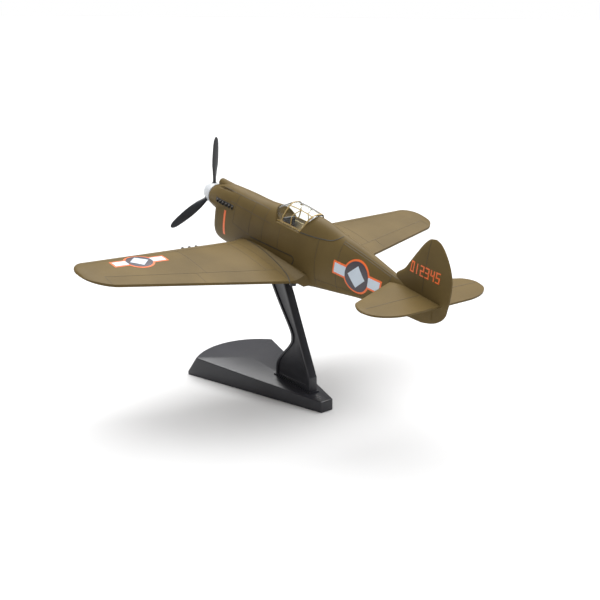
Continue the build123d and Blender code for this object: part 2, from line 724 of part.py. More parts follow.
def blade_section(y, width, thick, twist):
    """Lens-shaped blade section, twisted about the blade's own axis."""
    angle = radians(90 - twist)
    wide = Vector(cos(angle), 0, sin(angle))
    deep = Vector(-sin(angle), 0, cos(angle))
    centre = Vector(-PROP_AFT, y, 0)
    lead = centre + wide * (width / 2)
    trail = centre - wide * (width / 2)
    front = ThreePointArc(lead, centre + deep * (thick / 2), trail)
    back = ThreePointArc(trail, centre - deep * (thick / 2), lead)
    return Wire([front, back])


def make_blade():
    """One blade along +Y: round shank, then widening and thinning to a rounded tip."""
    plan = [(3.2, 0.50, 1.6, 0.0), (6.0, 0.80, 1.25, 0.3), (10.0, 1.0, 1.0, 0.6),
            (14.5, 0.92, 0.8, 0.85), (PROP_RADIUS - 0.9, 0.62, 0.6, 1.0), (PROP_RADIUS, 0.25, 0.5, 1.0)]
    rings = []
    for y, width_share, thick_share, along in plan:
        twist = BLADE_TWIST_ROOT + (BLADE_TWIST_TIP - BLADE_TWIST_ROOT) * along
        rings.append(blade_section(y, BLADE_WIDTH * width_share, BLADE_THICK * thick_share, twist))
    blade = Solid.make_loft(rings, True)
    shank = Rot(-90, 0, 0) * Cylinder(SHANK_RADIUS, 3.6, align=(Align.CENTER, Align.CENTER, Align.MIN))
    return blade + Pos(-PROP_AFT, 0, 0) * shank


def make_propeller():
    """Hub and blades in one moulding."""
    propeller = along_x(HUB_RADIUS, PROP_AFT - HUB_LENGTH / 2, PROP_AFT + HUB_LENGTH / 2)
    blade = make_blade()
    for turn in blade_turns():
        propeller += spun(blade, turn)
    return propeller - along_x(SHAFT_RADIUS, 0, SPINNER_LENGTH + 1)


def bush_front():
    """The bush stands just clear of the hub, inside the spinner's back edge."""
    return PROP_AFT + HUB_LENGTH / 2 + END_FLOAT


def make_bush():
    """Flanged bush clamped between the cowl halves."""
    bush = along_x(BUSH_RADIUS, bush_front(), BUSH_END - BUSH_FLANGE_THICK)
    bush += along_x(BUSH_FLANGE_RADIUS, BUSH_END - BUSH_FLANGE_THICK, BUSH_END)
    return bush - along_x(SHAFT_RADIUS + RUNNING_GAP, 0, BUSH_END + 1)


def make_shaft():
    return along_x(SHAFT_RADIUS, 2.1, SHAFT_END)


def make_collar():
    """Push-on collar that keeps the shaft in its bush."""
    front = BUSH_END + END_FLOAT
    return along_x(COLLAR_RADIUS, front, front + COLLAR_LENGTH) - along_x(SHAFT_RADIUS, 0, SHAFT_END + 1)


# ---------------------------------------------------------------- stand pieces
def base_top(x):
    """Height of the base's sloping top."""
    share = (x - BASE_BACK) / (BASE_STRAIGHT + BASE_BULGE)
    return BASE_LOW + (BASE_HIGH - BASE_LOW) * share


def base_outline(inset, cut_back):
    """Base seen from above: narrow square end, straight sides, rounded wide end."""
    slope = (BASE_WIDE - BASE_NARROW) / 2 / BASE_STRAIGHT
    back = BASE_BACK + inset
    corner = BASE_BACK + BASE_STRAIGHT - inset - cut_back
    crown = BASE_BACK + BASE_STRAIGHT + BASE_BULGE - inset - cut_back
    narrow = BASE_NARROW / 2 + slope * inset - inset * sqrt(1 + slope ** 2)
    wide = narrow + slope * (corner - back)
    left = Line((back, narrow), (corner, wide))
    arc = ThreePointArc(left @ 1, (crown, 0), (corner, -wide))
    right = Line(arc @ 1, (back, -narrow))
    return make_face([left, arc, right, Line(right @ 1, left @ 0)])


def sloping_top(lift):
    """Everything above the base's top, shifted by lift."""
    rise = (BASE_HIGH - BASE_LOW) / (BASE_STRAIGHT + BASE_BULGE)
    middle = base_top(0) + lift
    slab = Box(BIG, BIG, BIG, align=(Align.CENTER, Align.CENTER, Align.MIN))
    return Pos(0, 0, middle) * Rot(0, -degrees(atan2(rise, 1)), 0) * slab


def base_block(inset, low, lift):
    """The base's outer form: an upright lip, then a face that slopes back at the wide end."""
    lip = Pos(0, 0, low) * extrude(base_outline(inset, 0), BASE_LIP - low, dir=(0, 0, 1))
    foot = base_outline(inset, 0).faces()[0].outer_wire().moved(Location((0, 0, BASE_LIP)))
    top = base_outline(inset, BASE_SLOPE).faces()[0].outer_wire().moved(Location((0, 0, BASE_HIGH + 0.5)))
    slope = Solid.make_loft([foot, top], True)
    return (lip + slope) - sloping_top(lift)


def make_base():
    """A moulded shell with stiffening ribs and a boss for the arm's tenon."""
    base = base_block(0, 0, 0)
    hollow = base_block(BASE_WALL, -1, -BASE_WALL)
    boss = Box(ARM_FRONT_FOOT - ARM_REAR_FOOT, TENON_THICK + 2 * SKIN, BASE_HIGH)
    hollow -= Pos(ARM_MIDDLE, 0, BASE_HIGH / 2) * boss
    hollow -= Box(BIG, RIB, BIG)
    for index in range(RIB_COUNT):
        x = ARM_FRONT_FOOT + RIB_FIRST + RIB_PITCH * index
        hollow -= Pos(x, 0, 0) * Box(RIB, BIG, BIG)
    base -= hollow
    base -= tenon(JOIN_GAP)
    return base - arm_screw(JOIN_GAP)


def tenon(gap):
    """The tongue under the arm's foot."""
    length = ARM_FRONT_FOOT - ARM_REAR_FOOT - 2 * TENON_INSET
    top = base_top(ARM_MIDDLE) + 1
    low = base_top(ARM_REAR_FOOT + TENON_INSET) - TENON_HEIGHT
    tongue = Box(length + 2 * gap, TENON_THICK + 2 * gap, top - low + gap)
    return Pos(ARM_MIDDLE, 0, (top + low - gap) / 2) * tongue


def arm_screw(gap):
    """The screw that pulls the arm down from under the base."""
    foot = (Align.CENTER, Align.CENTER, Align.MIN)
    screw = Pos(0, 0, 0.9) * Cylinder(ARM_SCREW_RADIUS + gap, 4.2 + gap, align=foot)
    screw += Pos(0, 0, 0.1) * Cylinder(ARM_SCREW_HEAD + gap, 0.8, align=foot)
    if gap:
        screw += Pos(0, 0, -1) * Cylinder(ARM_SCREW_HEAD + gap, 1.2, align=foot)
    return Pos(ARM_MIDDLE, 0, 0) * screw


def in_row(aft, z):
    """A point of the aircraft's centre plane, in the stand's axes."""
    place = AIRCRAFT * Pos(-aft, 0, z)
    return place.position


def arm_outline(inset):
    """Arm in side view: straight leaning back edge, waist, and a head under the belly."""
    low = base_top(ARM_REAR_FOOT) - 0.5 + inset * 4
    rear_x = ARM_REAR_FOOT + (low - base_top(ARM_REAR_FOOT)) * ARM_LEAN + inset
    top_front = in_row(ARM_TOP_FRONT, BELLY_SEAT - inset)
    top_rear_height = in_row(ARM_TOP_REAR, BELLY_SEAT - inset).Z
    top_rear_x = ARM_REAR_FOOT + (top_rear_height - base_top(ARM_REAR_FOOT)) * ARM_LEAN + inset
    waist_x = ARM_REAR_FOOT + (ARM_WAIST_LEVEL - base_top(ARM_REAR_FOOT)) * ARM_LEAN + ARM_WAIST - inset
    waist = (waist_x, 0, ARM_WAIST_LEVEL)
    belly = (waist_x + 4.2, 0, 12.9 + inset)
    neck = (waist_x + 2.4, 0, 23.6)
    toe = (ARM_FRONT_FOOT - inset, 0, ARM_FOOT_LEVEL + 1.2 + inset)
    heel = (rear_x, 0, low)
    head = (top_front.X - inset, 0, top_front.Z)
    sole = (ARM_FRONT_FOOT - inset, 0, low)
    back = (top_rear_x, 0, top_rear_height)
    lines = [Line(heel, sole), Line(sole, toe),
             Spline(toe, belly, waist, tangents=[(-0.1, 0, 1), (0.1, 0, 1)]),
             Spline(waist, neck, head, tangents=[(0.1, 0, 1), (0.6, 0, 0.8)]),
             Line(head, back), Line(back, heel)]
    return make_face(lines)


def make_arm():
    """The arm with raised rims, a stepped foot flange, its tenon and the peg for the aircraft."""
    arm = extrude(arm_outline(0), ARM_THICK / 2, dir=(0, 1, 0), both=True)
    pocket = extrude(arm_outline(ARM_RIM), BIG / 4, dir=(0, 1, 0))
    pocket = Pos(0, ARM_THICK / 2 - ARM_RECESS, 0) * pocket
    arm -= pocket
    arm -= mirrored(pocket)
    for step in (1, 2):
        spread = FLANGE_WIDE * (3 - step)
        plate = Box(ARM_FRONT_FOOT - ARM_REAR_FOOT + spread, ARM_THICK + spread, BIG)
        arm += (Pos(ARM_MIDDLE, 0, 0) * plate) & (sloping_top(0) - sloping_top(FLANGE_THICK / 2 * step))
    arm -= Pos(0, 0, -BIG) * sloping_top(0)
    arm += tenon(0)
    arm -= arm_screw(0)
    peg = block(PEG_AFT, PEG_AFT + PEG_LENGTH, -PEG_THICK / 2, PEG_THICK / 2, BELLY_SEAT - 2.5,
                BELLY_SEAT + PEG_HEIGHT)
    return arm + AIRCRAFT * peg


# ---------------------------------------------------------------- writing the pieces
def write(name, shapes, place=Location()):
    """Write one node; a list becomes a group of separate solids."""
    group = shapes if isinstance(shapes, list) else [shapes]
    solids = []
    for shape in group:
        solids.extend(solid.moved(place) for solid in shape.solids())
    export_step(solids[0] if len(solids) == 1 else Compound(children=solids), f"parts/{name}.step")


def main():
    os.makedirs("parts", exist_ok=True)
    hull = make_hull()
    wing_blank = make_wing_blank()
    fuselage_left = make_fuselage_left(hull, wing_blank)
    tailplane = make_tailplane(hull)
    exhausts = make_exhausts()
    guns = make_guns()
    aircraft = {
        "fuselage_left": fuselage_left,
        "fuselage_right": mirrored(fuselage_left),
        "wing": make_wing(wing_blank),
        "belly_fairing": make_belly(hull, wing_blank),
        "wing_screws": make_screws(),
        "tailplane_left": tailplane,
        "tailplane_right": mirrored(tailplane),
        "exhausts_left": exhausts,
        "exhausts_right": mirrored(exhausts),
        "gun_barrels_left": guns,
        "gun_barrels_right": [mirrored(gun) for gun in guns],
        "radiator_insert": make_radiator(),
        "cockpit_tub": make_tub(),
        "pilot_seat": make_seat(),
        "instrument_panel": make_instrument_panel(),
        "control_stick": make_stick(),
        "canopy_glass": make_canopy(),
        "nose_bush": make_bush(),
        "propeller": make_propeller(),
        "spinner": make_spinner(),
        "propeller_shaft": make_shaft(),
        "shaft_collar": make_collar(),
    }
    for name, shape in aircraft.items():
        write(name, shape, AIRCRAFT)
    stand = {
        "stand_base": make_base(),
        "stand_arm": make_arm(),
        "arm_screw": arm_screw(0),
    }
    for name, shape in stand.items():
        write(name, shape)


if __name__ == "__main__":
    main()
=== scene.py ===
"""Painted display aeroplane on its stand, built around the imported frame."""
import json
import math

import bmesh
import bpy
import numpy as np
from bpy.props import FloatProperty, FloatVectorProperty, IntProperty, PointerProperty
from mathutils import Matrix, Vector


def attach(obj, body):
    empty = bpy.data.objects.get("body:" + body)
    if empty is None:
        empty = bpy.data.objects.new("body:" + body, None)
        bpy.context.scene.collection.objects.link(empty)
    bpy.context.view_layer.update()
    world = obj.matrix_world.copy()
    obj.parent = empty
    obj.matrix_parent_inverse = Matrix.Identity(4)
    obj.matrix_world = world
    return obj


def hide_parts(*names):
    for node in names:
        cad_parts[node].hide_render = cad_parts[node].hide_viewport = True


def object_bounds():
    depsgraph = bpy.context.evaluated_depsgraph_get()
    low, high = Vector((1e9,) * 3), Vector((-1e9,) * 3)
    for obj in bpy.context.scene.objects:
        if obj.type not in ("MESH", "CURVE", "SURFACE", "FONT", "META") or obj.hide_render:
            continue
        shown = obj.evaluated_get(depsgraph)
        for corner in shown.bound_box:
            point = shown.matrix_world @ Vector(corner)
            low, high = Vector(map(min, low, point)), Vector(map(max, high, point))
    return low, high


bl_info = {
    "name": "Desk Fighter Model",
    "version": (1, 0, 0),
    "blender": (4, 5, 0),
    "location": "View3D > Sidebar > Desk Fighter",
    "description": "Builds a painted display aeroplane and its stand around the packed frame",
    "category": "Object",
}

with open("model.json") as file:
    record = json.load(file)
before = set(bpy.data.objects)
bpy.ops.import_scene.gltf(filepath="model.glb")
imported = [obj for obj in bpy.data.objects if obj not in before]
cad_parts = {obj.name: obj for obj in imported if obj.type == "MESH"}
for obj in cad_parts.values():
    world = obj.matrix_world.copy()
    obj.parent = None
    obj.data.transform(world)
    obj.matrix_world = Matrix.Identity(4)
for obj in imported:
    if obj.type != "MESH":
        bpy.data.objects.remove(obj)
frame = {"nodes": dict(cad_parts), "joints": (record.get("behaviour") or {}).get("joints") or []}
CAD_BOX = [[float(value) for value in corner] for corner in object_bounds()]

MM = 0.001

# ------------------------------------------------------------------ the aircraft's own axes
# "aft" is the distance behind the spinner's tip, y is to the pilot's left, z is up from the
# thrust line; all three in millimetres.
SPIN = next(joint for joint in frame["joints"] if joint["name"] == "propeller_spin")
PROPELLER_AFT = 4.3
FORWARD = np.array(SPIN["axis"]) / np.linalg.norm(SPIN["axis"])
LEFT = np.array((0.0, 1.0, 0.0))
UPWARD = np.cross(FORWARD, LEFT)
TIP = np.array(SPIN["pos_m"]) + PROPELLER_AFT * MM * FORWARD

# Fuselage: aft, top, bottom, half width, level of the widest line, fullness
HULL = np.array([
    (11.4, 5.1, -11.9, 4.0, -6.2, 2.4),
    (11.7, 5.4, -12.3, 4.25, -6.0, 2.4),
    (12.6, 5.6, -12.6, 4.45, -5.8, 2.4),
    (16.0, 5.9, -12.9, 4.7, -5.2, 2.35),
    (24.0, 6.25, -13.2, 4.95, -4.0, 2.3),
    (34.0, 6.5, -13.5, 5.05, -3.2, 2.2),
    (44.0, 7.8, -13.6, 5.05, -2.8, 2.1),
    (55.5, 9.0, -12.2, 4.65, -2.2, 2.0),
    (60.6, 8.7, -11.1, 4.35, -1.9, 2.0),
    (67.6, 7.6, -9.6, 3.85, -1.6, 2.0),
    (77.1, 6.3, -7.6, 3.05, -1.1, 2.0),
    (87.6, 4.2, -6.2, 2.1, -0.7, 2.0),
    (98.0, 2.4, -5.0, 1.2, -0.9, 2.0),
    (103.0, 1.2, -3.7, 0.7, -1.2, 2.0),
])
COWL = np.array([
    (6.6, 3.45, -3.45, 3.45, 0.0, 2.0),
    (7.0, 3.62, -3.62, 3.62, 0.0, 2.0),
    (9.2, 4.6, -3.95, 4.0, 0.0, 2.05),
    (11.5, 5.25, -4.3, 4.3, -0.1, 2.1),
    (15.0, 5.7, -4.6, 4.5, -0.2, 2.15),
    (20.0, 5.8, -4.6, 4.3, -0.2, 2.2),
])
SILL = 3.4

# Fin and rudder in side view: level, leading edge aft, trailing edge aft
FIN = np.array([
    (-5.3, 94.0, 95.2), (-5.1, 93.5, 98.6), (-4.5, 93.0, 101.4), (-3.8, 92.0, 103.4),
    (-2.6, 91.0, 105.3), (-0.8, 90.0, 106.8), (1.6, 89.4, 107.3), (4.2, 88.6, 107.55),
    (6.8, 91.2, 107.5), (8.9, 92.5, 107.2), (10.9, 93.7, 106.5), (13.0, 95.0, 105.3),
    (15.0, 96.3, 103.8), (16.3, 97.4, 102.5), (17.1, 98.5, 101.4), (17.5, 100.1, 100.2),
])
FIN_THICK = 1.7
FIN_EDGE = 0.45
FIN_CREST = 17.9
RUDDER_HINGE = 98.8

# Wing
HALF_SPAN = 63.2
WING_ROOT = (24.4, 58.9)
LE_SWEEP = 0.077
TE_SWEEP = 0.229
WING_LEVEL = -9.5
WING_CENTRE = 4.5
DIHEDRAL = math.tan(math.radians(3.85))
WING_THICK = (4.9, 1.7)
EDGE_THICK = 0.75
TIP_POINT = 36.2
TIP_ROUND = (4.4, 7.0)

# Tailplane
TAIL_HALF_SPAN = 20.9
TAIL_ROOT = (87.3, 105.2)
TAIL_SWEEP = 0.36
TAIL_LEVEL = 1.6
TAIL_POINT = 98.6
TAIL_ROUND = (2.8, 11.0)
TAIL_THICK = (1.7, 0.9)
TAIL_EDGE = 0.5
TAIL_TIP_SPAN = 11.0

# Canopy: the raked screen, the bowed roof and the hoops
SCREEN_FOOT = (39.5, 6.9)
SCREEN_SLOPE = 0.56
SCREEN_TOP_AFT = 45.6
SILL_FOOT = 42.2
SILL_FOOT_RUN = 2.7
SILL_FOOT_RISE = 3.5
ROOF_CREST = (48.2, 10.15)
ROOF_BOW = 0.0125
REAR_FOOT = 52.7
REAR_LEAN = 0.55
CANOPY_HALF = 3.28
CANOPY_WALL = 0.35
HOOP_FOOT = 43.4
HOOP_LEAN = 0.364
BAR_HEIGHT = 0.16
BAR_LIFT = 0.04
RAIL_TURNS = (0.93, 1.03)
SILL_TURN = 0.04
PILLAR_ALONG = 0.56

# Cowl details: (share of the way along, radius) pairs, and the slot of the exhausts
SCOOP = [(0, 0.5), (0.16, 1.0), (0.376, 1.25), (0.7, 1.35), (0.957, 1.35), (0.993, 1.3), (1, 1.15),
         (0.993, 1.0), (0.97, 0.93), (0.83, 0.85)]
TROUGH = [(0, 0.02), (0.1, 0.35), (0.35, 0.62), (0.8, 0.55), (1, 0.3)]
EXHAUST_ENDS = (11.95, 21.55)
EXHAUST_LEVEL = 0.85
EXHAUST_HEIGHT = 1.35
STUB_FIRST = 12.3
STUB_RUN = 9.4
DUCT_LEVEL = -8.4
RADIATOR_RINGS = ((1.35, 1.6, -7.3), (1.35, -1.6, -7.3), (1.0, 0.0, -10.1))

# Propeller: shares of the radius and the blade's width, thickness and twist there
BLADE_COUNT = 3
BLADE_WIDTH = ([0, 0.14, 0.2, 0.34, 0.5, 0.62, 0.78, 0.9], [1.15, 1.2, 1.4, 2.4, 2.95, 3.0, 2.7, 2.3])
BLADE_THICK = ([0, 0.16, 0.3, 0.6, 1], [1.15, 1.15, 0.8, 0.5, 0.3])
BLADE_TWIST = ([0, 0.17, 0.5, 1], [40, 40, 18, 12])
HUB = [(3.1, 0.0), (3.1, 1.5), (3.2, 1.55), (5.4, 1.55), (5.5, 1.5), (5.5, 0.0)]
SPINNER_LENGTH = 6.15
SPINNER_RADIUS = 3.5
SPINNER_BACK = [(6.3, 3.42), (6.32, 3.2), (6.32, 2.6), (6.0, 2.5), (5.2, 2.4), (4.2, 2.1), (4.0, 0.001)]
BLADE_HOLE = 0.85

# Guns and undercarriage on the wing
GUN_PLACES = (18.9, 21.4, 23.9)
GUN_SLEEVE = [(0, 0.62), (0.92, 0.62), (1, 0.52)]
GEAR_OUT = 13.5
GEAR_AFT = (25.0, 13.0)
WHEEL_AFT = 43.5
WHEEL = [(0.0, 3.5), (0.35, 3.5), (0.5, 3.2), (0.5, 2.3), (0.3, 2.1), (0.3, 1.0), (0.55, 0.8), (0.6, 0.0)]

# Markings: centre aft, across or level, disc radius, bar length and width
SIDE_MARK = (77.1, -0.75, 4.75, 17.6, 3.8)
WING_MARK = (35.0, 44.4, 4.3, 16.6, 3.7)
MARK_EDGE = 0.55
DECAL_LIFT = 0.03
STRIPE_LEVELS = (-8.9, -1.1)
STRIPE_AFT = (17.15, 18.15)
FIGURE_FIRST = (93.9, 7.25)
FIGURE_PITCH = 1.74
FIGURE_WIDTH = 0.36

# Stand, in its own axes: x forward from the middle of the base, z up from the table
BASE_BACK = -27.95
BASE_STRAIGHT = 50.2
BASE_BULGE = 5.7
BASE_WIDTHS = (4.4, 32.0)
BASE_HEIGHTS = (3.4, 7.1)
BASE_LIP = 1.0
BASE_SET_BACK = 3.6
BASE_WALL = 1.4
BASE_SLOPE = (BASE_WIDTHS[1] - BASE_WIDTHS[0]) / 2 / BASE_STRAIGHT
RIB_HALF = 0.5
RIB_PITCH = 9.0
SPINE_RIB = (2.0, 21.3)
ARM_HALF = 1.32
ARM_REAR = -21.5
ARM_FOOT_FRONT = -5.2
ARM_LEVELS = (3.6, 37.3)
ARM_HEEL_LEVEL = 8.4
ARM_LEAN = 0.47
ARM_FRONT = np.array([
    (3.6, -5.2), (7.4, -5.2), (9.6, -5.7), (12.9, -8.3), (15.8, -11.1), (17.6, -12.35), (19.0, -12.5),
    (20.6, -12.0), (23.4, -10.05), (27.6, -6.85), (33.0, -2.95), (39.5, 1.75),
])
ARM_RIM = 0.9
ARM_RECESS = 0.45
BELLY_SEAT = -13.3
PEG = (36.9, 42.5, 0.95)
PEG_GAP = 0.1
FLANGE_SPREAD = 0.5
FLANGE_HEIGHT = 0.4


# ------------------------------------------------------------------ numbers to points
def to_row(aft, y, z):
    """Aircraft axes in millimetres to metres in the row frame."""
    aft, y, z = np.broadcast_arrays(np.asarray(aft, float), y, z)
    return TIP + MM * (-aft[..., None] * FORWARD + y[..., None] * LEFT + z[..., None] * UPWARD)


def stand_row(x, y, z):
    """Stand axes in millimetres to metres in the row frame."""
    x, y, z = np.broadcast_arrays(np.asarray(x, float), y, z)
    return MM * np.stack([x, y, z], -1)


def smooth(table, at):
    """Smooth curve through a table's rows: cubic pieces whose slopes are weighted chords."""
    knots = table[:, 0]
    values = table[:, 1:]
    chords = np.diff(values, axis=0) / np.diff(knots)[:, None]
    slopes = np.vstack([chords[:1], (chords[1:] + chords[:-1]) / 2, chords[-1:]])
    turning = chords[1:] * chords[:-1] <= 0
    slopes[1:-1][turning] = 0
    at = np.clip(np.asarray(at, float), knots[0], knots[-1])
    low = np.clip(np.searchsorted(knots, at, side="right") - 1, 0, len(knots) - 2)
    step = (knots[low + 1] - knots[low])[..., None]
    share = (at[..., None] - knots[low][..., None]) / step
    square, cube = share ** 2, share ** 3
    return ((2 * cube - 3 * square + 1) * values[low] + (cube - 2 * square + share) * step * slopes[low]
            + (3 * square - 2 * cube) * values[low + 1] + (cube - square) * step * slopes[low + 1])


def circle(count):
    return np.linspace(0, 2 * np.pi, count, endpoint=False)


def signed_power(value, power):
    return np.sign(value) * np.abs(value) ** power


def hull_point(aft, turn, table=HULL, lift=0.0):
    """A superellipse across the hull: y = half cos^p, z = level + reach sin^p, turn 0 at the left."""
    aft, turn = np.broadcast_arrays(np.asarray(aft, float), turn)
    top, bottom, half, level, fullness = np.moveaxis(smooth(table, aft), -1, 0)
    rise = np.sin(turn)
    reach = np.where(rise > 0, top - level, level - bottom) + lift
    y = (half + lift) * signed_power(np.cos(turn), 2 / fullness)
    z = level + reach * signed_power(rise, 2 / fullness)
    return aft, y, z


def hull_side(aft, z):
    """Half width of the hull at a level, the superellipse solved for y."""
    top, bottom, half, level, fullness = np.moveaxis(smooth(HULL, aft), -1, 0)
    reach = np.where(z > level, top - level, level - bottom)
    share = np.clip(np.abs(z - level) / reach, 0, 1)
    return half * (1 - share ** fullness) ** (1 / fullness)


def thickness_law(share, blunt):
    """Four-digit wing section: half thickness for a unit of thickness, opened to a blunt edge."""
    law = 1.4845 * np.sqrt(share) - 0.63 * share - 1.758 * share ** 2
    law += 1.4215 * share ** 3 - 0.518 * share ** 4
    return law, blunt / 2 * share


def rounded_edges(span, half_span, root, sweeps, point, rounds):
    """Leading and trailing edge at a span station: straight lines that turn to the tip as ellipses."""
    span = np.abs(span)
    edges = []
    for edge, sweep, length in zip(root, sweeps, rounds):
        line = edge + sweep * span
        share = np.clip((span - (half_span - length)) / length, 0, 1)
        edges.append(line + (point - line) * (1 - np.sqrt(1 - share ** 2)))
    return edges


def wing_edges(y):
    return rounded_edges(y, HALF_SPAN, WING_ROOT, (LE_SWEEP, -TE_SWEEP), TIP_POINT, TIP_ROUND)


def wing_skin(aft, y, side, lift=0.0):
    """Height of the wing's upper (side 1) or lower (side -1) surface, with the root fillet's flare."""
    le, te = wing_edges(y)
    chord = np.maximum(te - le, 1e-6)
    share = np.clip((aft - le) / chord, 0, 1)
    span_share = np.abs(y) / HALF_SPAN
    thick = WING_THICK[0] + (WING_THICK[1] - WING_THICK[0]) * span_share
    thin_tip = np.sqrt(np.clip(1 - np.clip((span_share - 0.93) / 0.07, 0, 1) ** 2.5, 0, 1))
    law, blunt = thickness_law(share, EDGE_THICK)
    half = (thick * law + blunt) * thin_tip * np.clip(chord / 6, 0, 1)
    level = WING_LEVEL + np.clip(np.abs(y) - WING_CENTRE, 0, None) * DIHEDRAL
    near = np.clip(1 - (np.abs(y) - WING_CENTRE) / 4.2, 0, 1) ** 2.2
    fillet = near * (0.5 + 1.3 * share) * (1 if side > 0 else 0.3)
    shape = 1.2 if side > 0 else 0.8
    return level + side * (half * shape + fillet + lift)


# ------------------------------------------------------------------ meshes
def grid_faces(rows, columns, wrap):
    """Quads of a grid of points, joined round its columns where wrap is true."""
    row, column = np.meshgrid(np.arange(rows - 1), np.arange(columns if wrap else columns - 1),
                              indexing="ij")
    following = (column + 1) % columns
    quads = [row * columns + column, row * columns + following, (row + 1) * columns + following,
             (row + 1) * columns + column]
    return np.stack(quads, -1).reshape(-1, 4)


def ring_solid(points):
    """Closed solid from rings of points: quads between rings, and a fan over each end."""
    rows, columns = points.shape[:2]
    verts = points.reshape(-1, 3)
    faces = grid_faces(rows, columns, True).tolist()
    for row in (0, rows - 1):
        faces.extend(fan(row * columns, columns, len(verts)))
        verts = np.vstack([verts, points[row].mean(axis=0)])
    return verts, faces


def fan(first, columns, centre):
    index = np.arange(columns)
    return np.stack([first + index, first + (index + 1) % columns, np.full(columns, centre)], -1).tolist()


def slab(low, high):
    """Thin closed sheet between two grids of points."""
    rows, columns = low.shape[:2]
    rings = np.concatenate([high, low[:, ::-1]], axis=1)
    faces = grid_faces(rows, 2 * columns, True).tolist()
    for row in (0, rows - 1):
        start = row * 2 * columns
        column = np.arange(columns - 1)
        faces.extend(np.stack([start + column, start + column + 1, start + 2 * columns - 2 - column,
                               start + 2 * columns - 1 - column], -1).tolist())
    return rings.reshape(-1, 3), faces


def ribbon(path, normal, width, height):
    """Bar laid along a path on a surface: a four-cornered ring carried on it."""
    along = np.gradient(path, axis=0)
    along /= np.linalg.norm(along, axis=1)[:, None]
    across = np.cross(along, normal)
    across /= np.linalg.norm(across, axis=1)[:, None]
    corners = [(-1, -1), (1, -1), (1, 1), (-1, 1)]
    rings = [path + MM * (across * width / 2 * a + normal * height / 2 * b) for a, b in corners]
    return ring_solid(np.stack(rings, axis=1))


def tube(path, radii, sides, hint):
    """Round bar whose radius changes along a path, each ring square to the path."""
    path = np.asarray(path, float)
    along = np.gradient(path, axis=0)
    length = np.linalg.norm(along, axis=1)
    along[length < 1e-9] = along[length > 1e-9][0]
    along /= np.linalg.norm(along, axis=1)[:, None]
    first = np.cross(along, np.asarray(hint, float))
    first /= np.linalg.norm(first, axis=1)[:, None]
    second = np.cross(first, along)
    turn = circle(sides)[None, :, None]
    ring = np.cos(turn) * first[:, None] + np.sin(turn) * second[:, None]
    return ring_solid(path[:, None] + np.asarray(radii)[:, None, None] * ring)


def pipe(start, end, profile, sides=24, flatten=1.0, hint=(0.0, 0.0, 1.0)):
    """Straight round piece from (share along, radius) pairs, which may turn back down a bore."""
    start, end = np.asarray(start, float), np.asarray(end, float)
    axis = end - start
    share, radius = np.asarray(profile, float).T
    first = np.cross(axis, np.asarray(hint, float))
    first /= np.linalg.norm(first)
    second = np.cross(first, axis)
    second /= np.linalg.norm(second)
    turn = circle(sides)[None, :, None]
    ring = np.cos(turn) * first + flatten * np.sin(turn) * second
    return ring_solid(start + share[:, None, None] * axis + MM * radius[:, None, None] * ring)


def lipped(radius, bore, depth):
    """Profile of a pipe end: outer wall, rounded lip, then back down the bore."""
    return [(0, radius), (0.5, radius), (0.92, radius), (0.98, radius * 0.97), (1, (radius + bore) / 2),
            (0.98, bore * 1.03), (1 - depth, bore)]


def turned(profile, sides):
    """Solid turned round the thrust line from (aft, radius) pairs."""
    aft, radius = np.asarray(profile, float).T
    turn = circle(sides)
    return ring_solid(to_row(aft[:, None] + 0 * turn, radius[:, None] * np.cos(turn),
                             radius[:, None] * np.sin(turn)))


def raw_object(name, parts):
    """One mesh object from a list of (points, faces)."""
    verts = []
    faces = []
    for points, quads in parts:
        start = len(verts)
        verts.extend(points.tolist())
        faces.extend([start + corner for corner in face] for face in quads)
    mesh = bpy.data.meshes.new(name)
    mesh.from_pydata(verts, [], faces)
    work = bmesh.new()
    work.from_mesh(mesh)
    bmesh.ops.remove_doubles(work, verts=work.verts, dist=2e-7)
    bmesh.ops.dissolve_degenerate(work, edges=work.edges, dist=1e-7)
    bmesh.ops.recalc_face_normals(work, faces=work.faces)
    work.to_mesh(mesh)
    work.free()
    piece = bpy.data.objects.new(name, mesh)
    bpy.context.scene.collection.objects.link(piece)
    return piece


def apply_modifiers(piece):
    """Put the modifiers' result in the mesh."""
    graph = bpy.context.evaluated_depsgraph_get()
    result = bpy.data.meshes.new_from_object(piece.evaluated_get(graph))
    piece.modifiers.clear()
    piece.data = result


def cut(piece, cutters, operation="DIFFERENCE"):
    """Join cutters to the piece or take them out of it, worked in millimetres for the solver's sake."""
    piece.data.transform(Matrix.Scale(1 / MM, 4))
    for cutter in cutters:
        cutter.data.transform(Matrix.Scale(1 / MM, 4))
        change = piece.modifiers.new("cut", "BOOLEAN")
        change.operation = operation
        change.solver = "EXACT"
        change.object = cutter
        bpy.context.view_layer.update()
        apply_modifiers(piece)
        bpy.data.objects.remove(cutter)
    if len(piece.data.vertices) < 100:
        raise RuntimeError(f"nothing left of {piece.name} after a cut")
    piece.data.transform(Matrix.Scale(MM, 4))


def round_edges(piece, width, segments=3):
    """Bevel every edge sharper than 30 degrees."""
    bevel = piece.modifiers.new("edges", "BEVEL")
    bevel.width = width
    bevel.segments = segments
    bevel.limit_method = "ANGLE"
    bevel.angle_limit = math.radians(30.0)
    bevel.harden_normals = False
    bpy.context.view_layer.update()
    apply_modifiers(piece)


def dress(piece, body, material, stands_for=(), crease=32.0):
    """Give a finished piece its shading, finish and body, and hide the nodes that it stands for."""
    piece.data.shade_smooth()
    piece.data.set_sharp_from_angle(angle=math.radians(crease))
    piece.data.materials.clear()
    piece.data.materials.append(material)
    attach(piece, body)
    if stands_for:
        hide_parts(*stands_for)


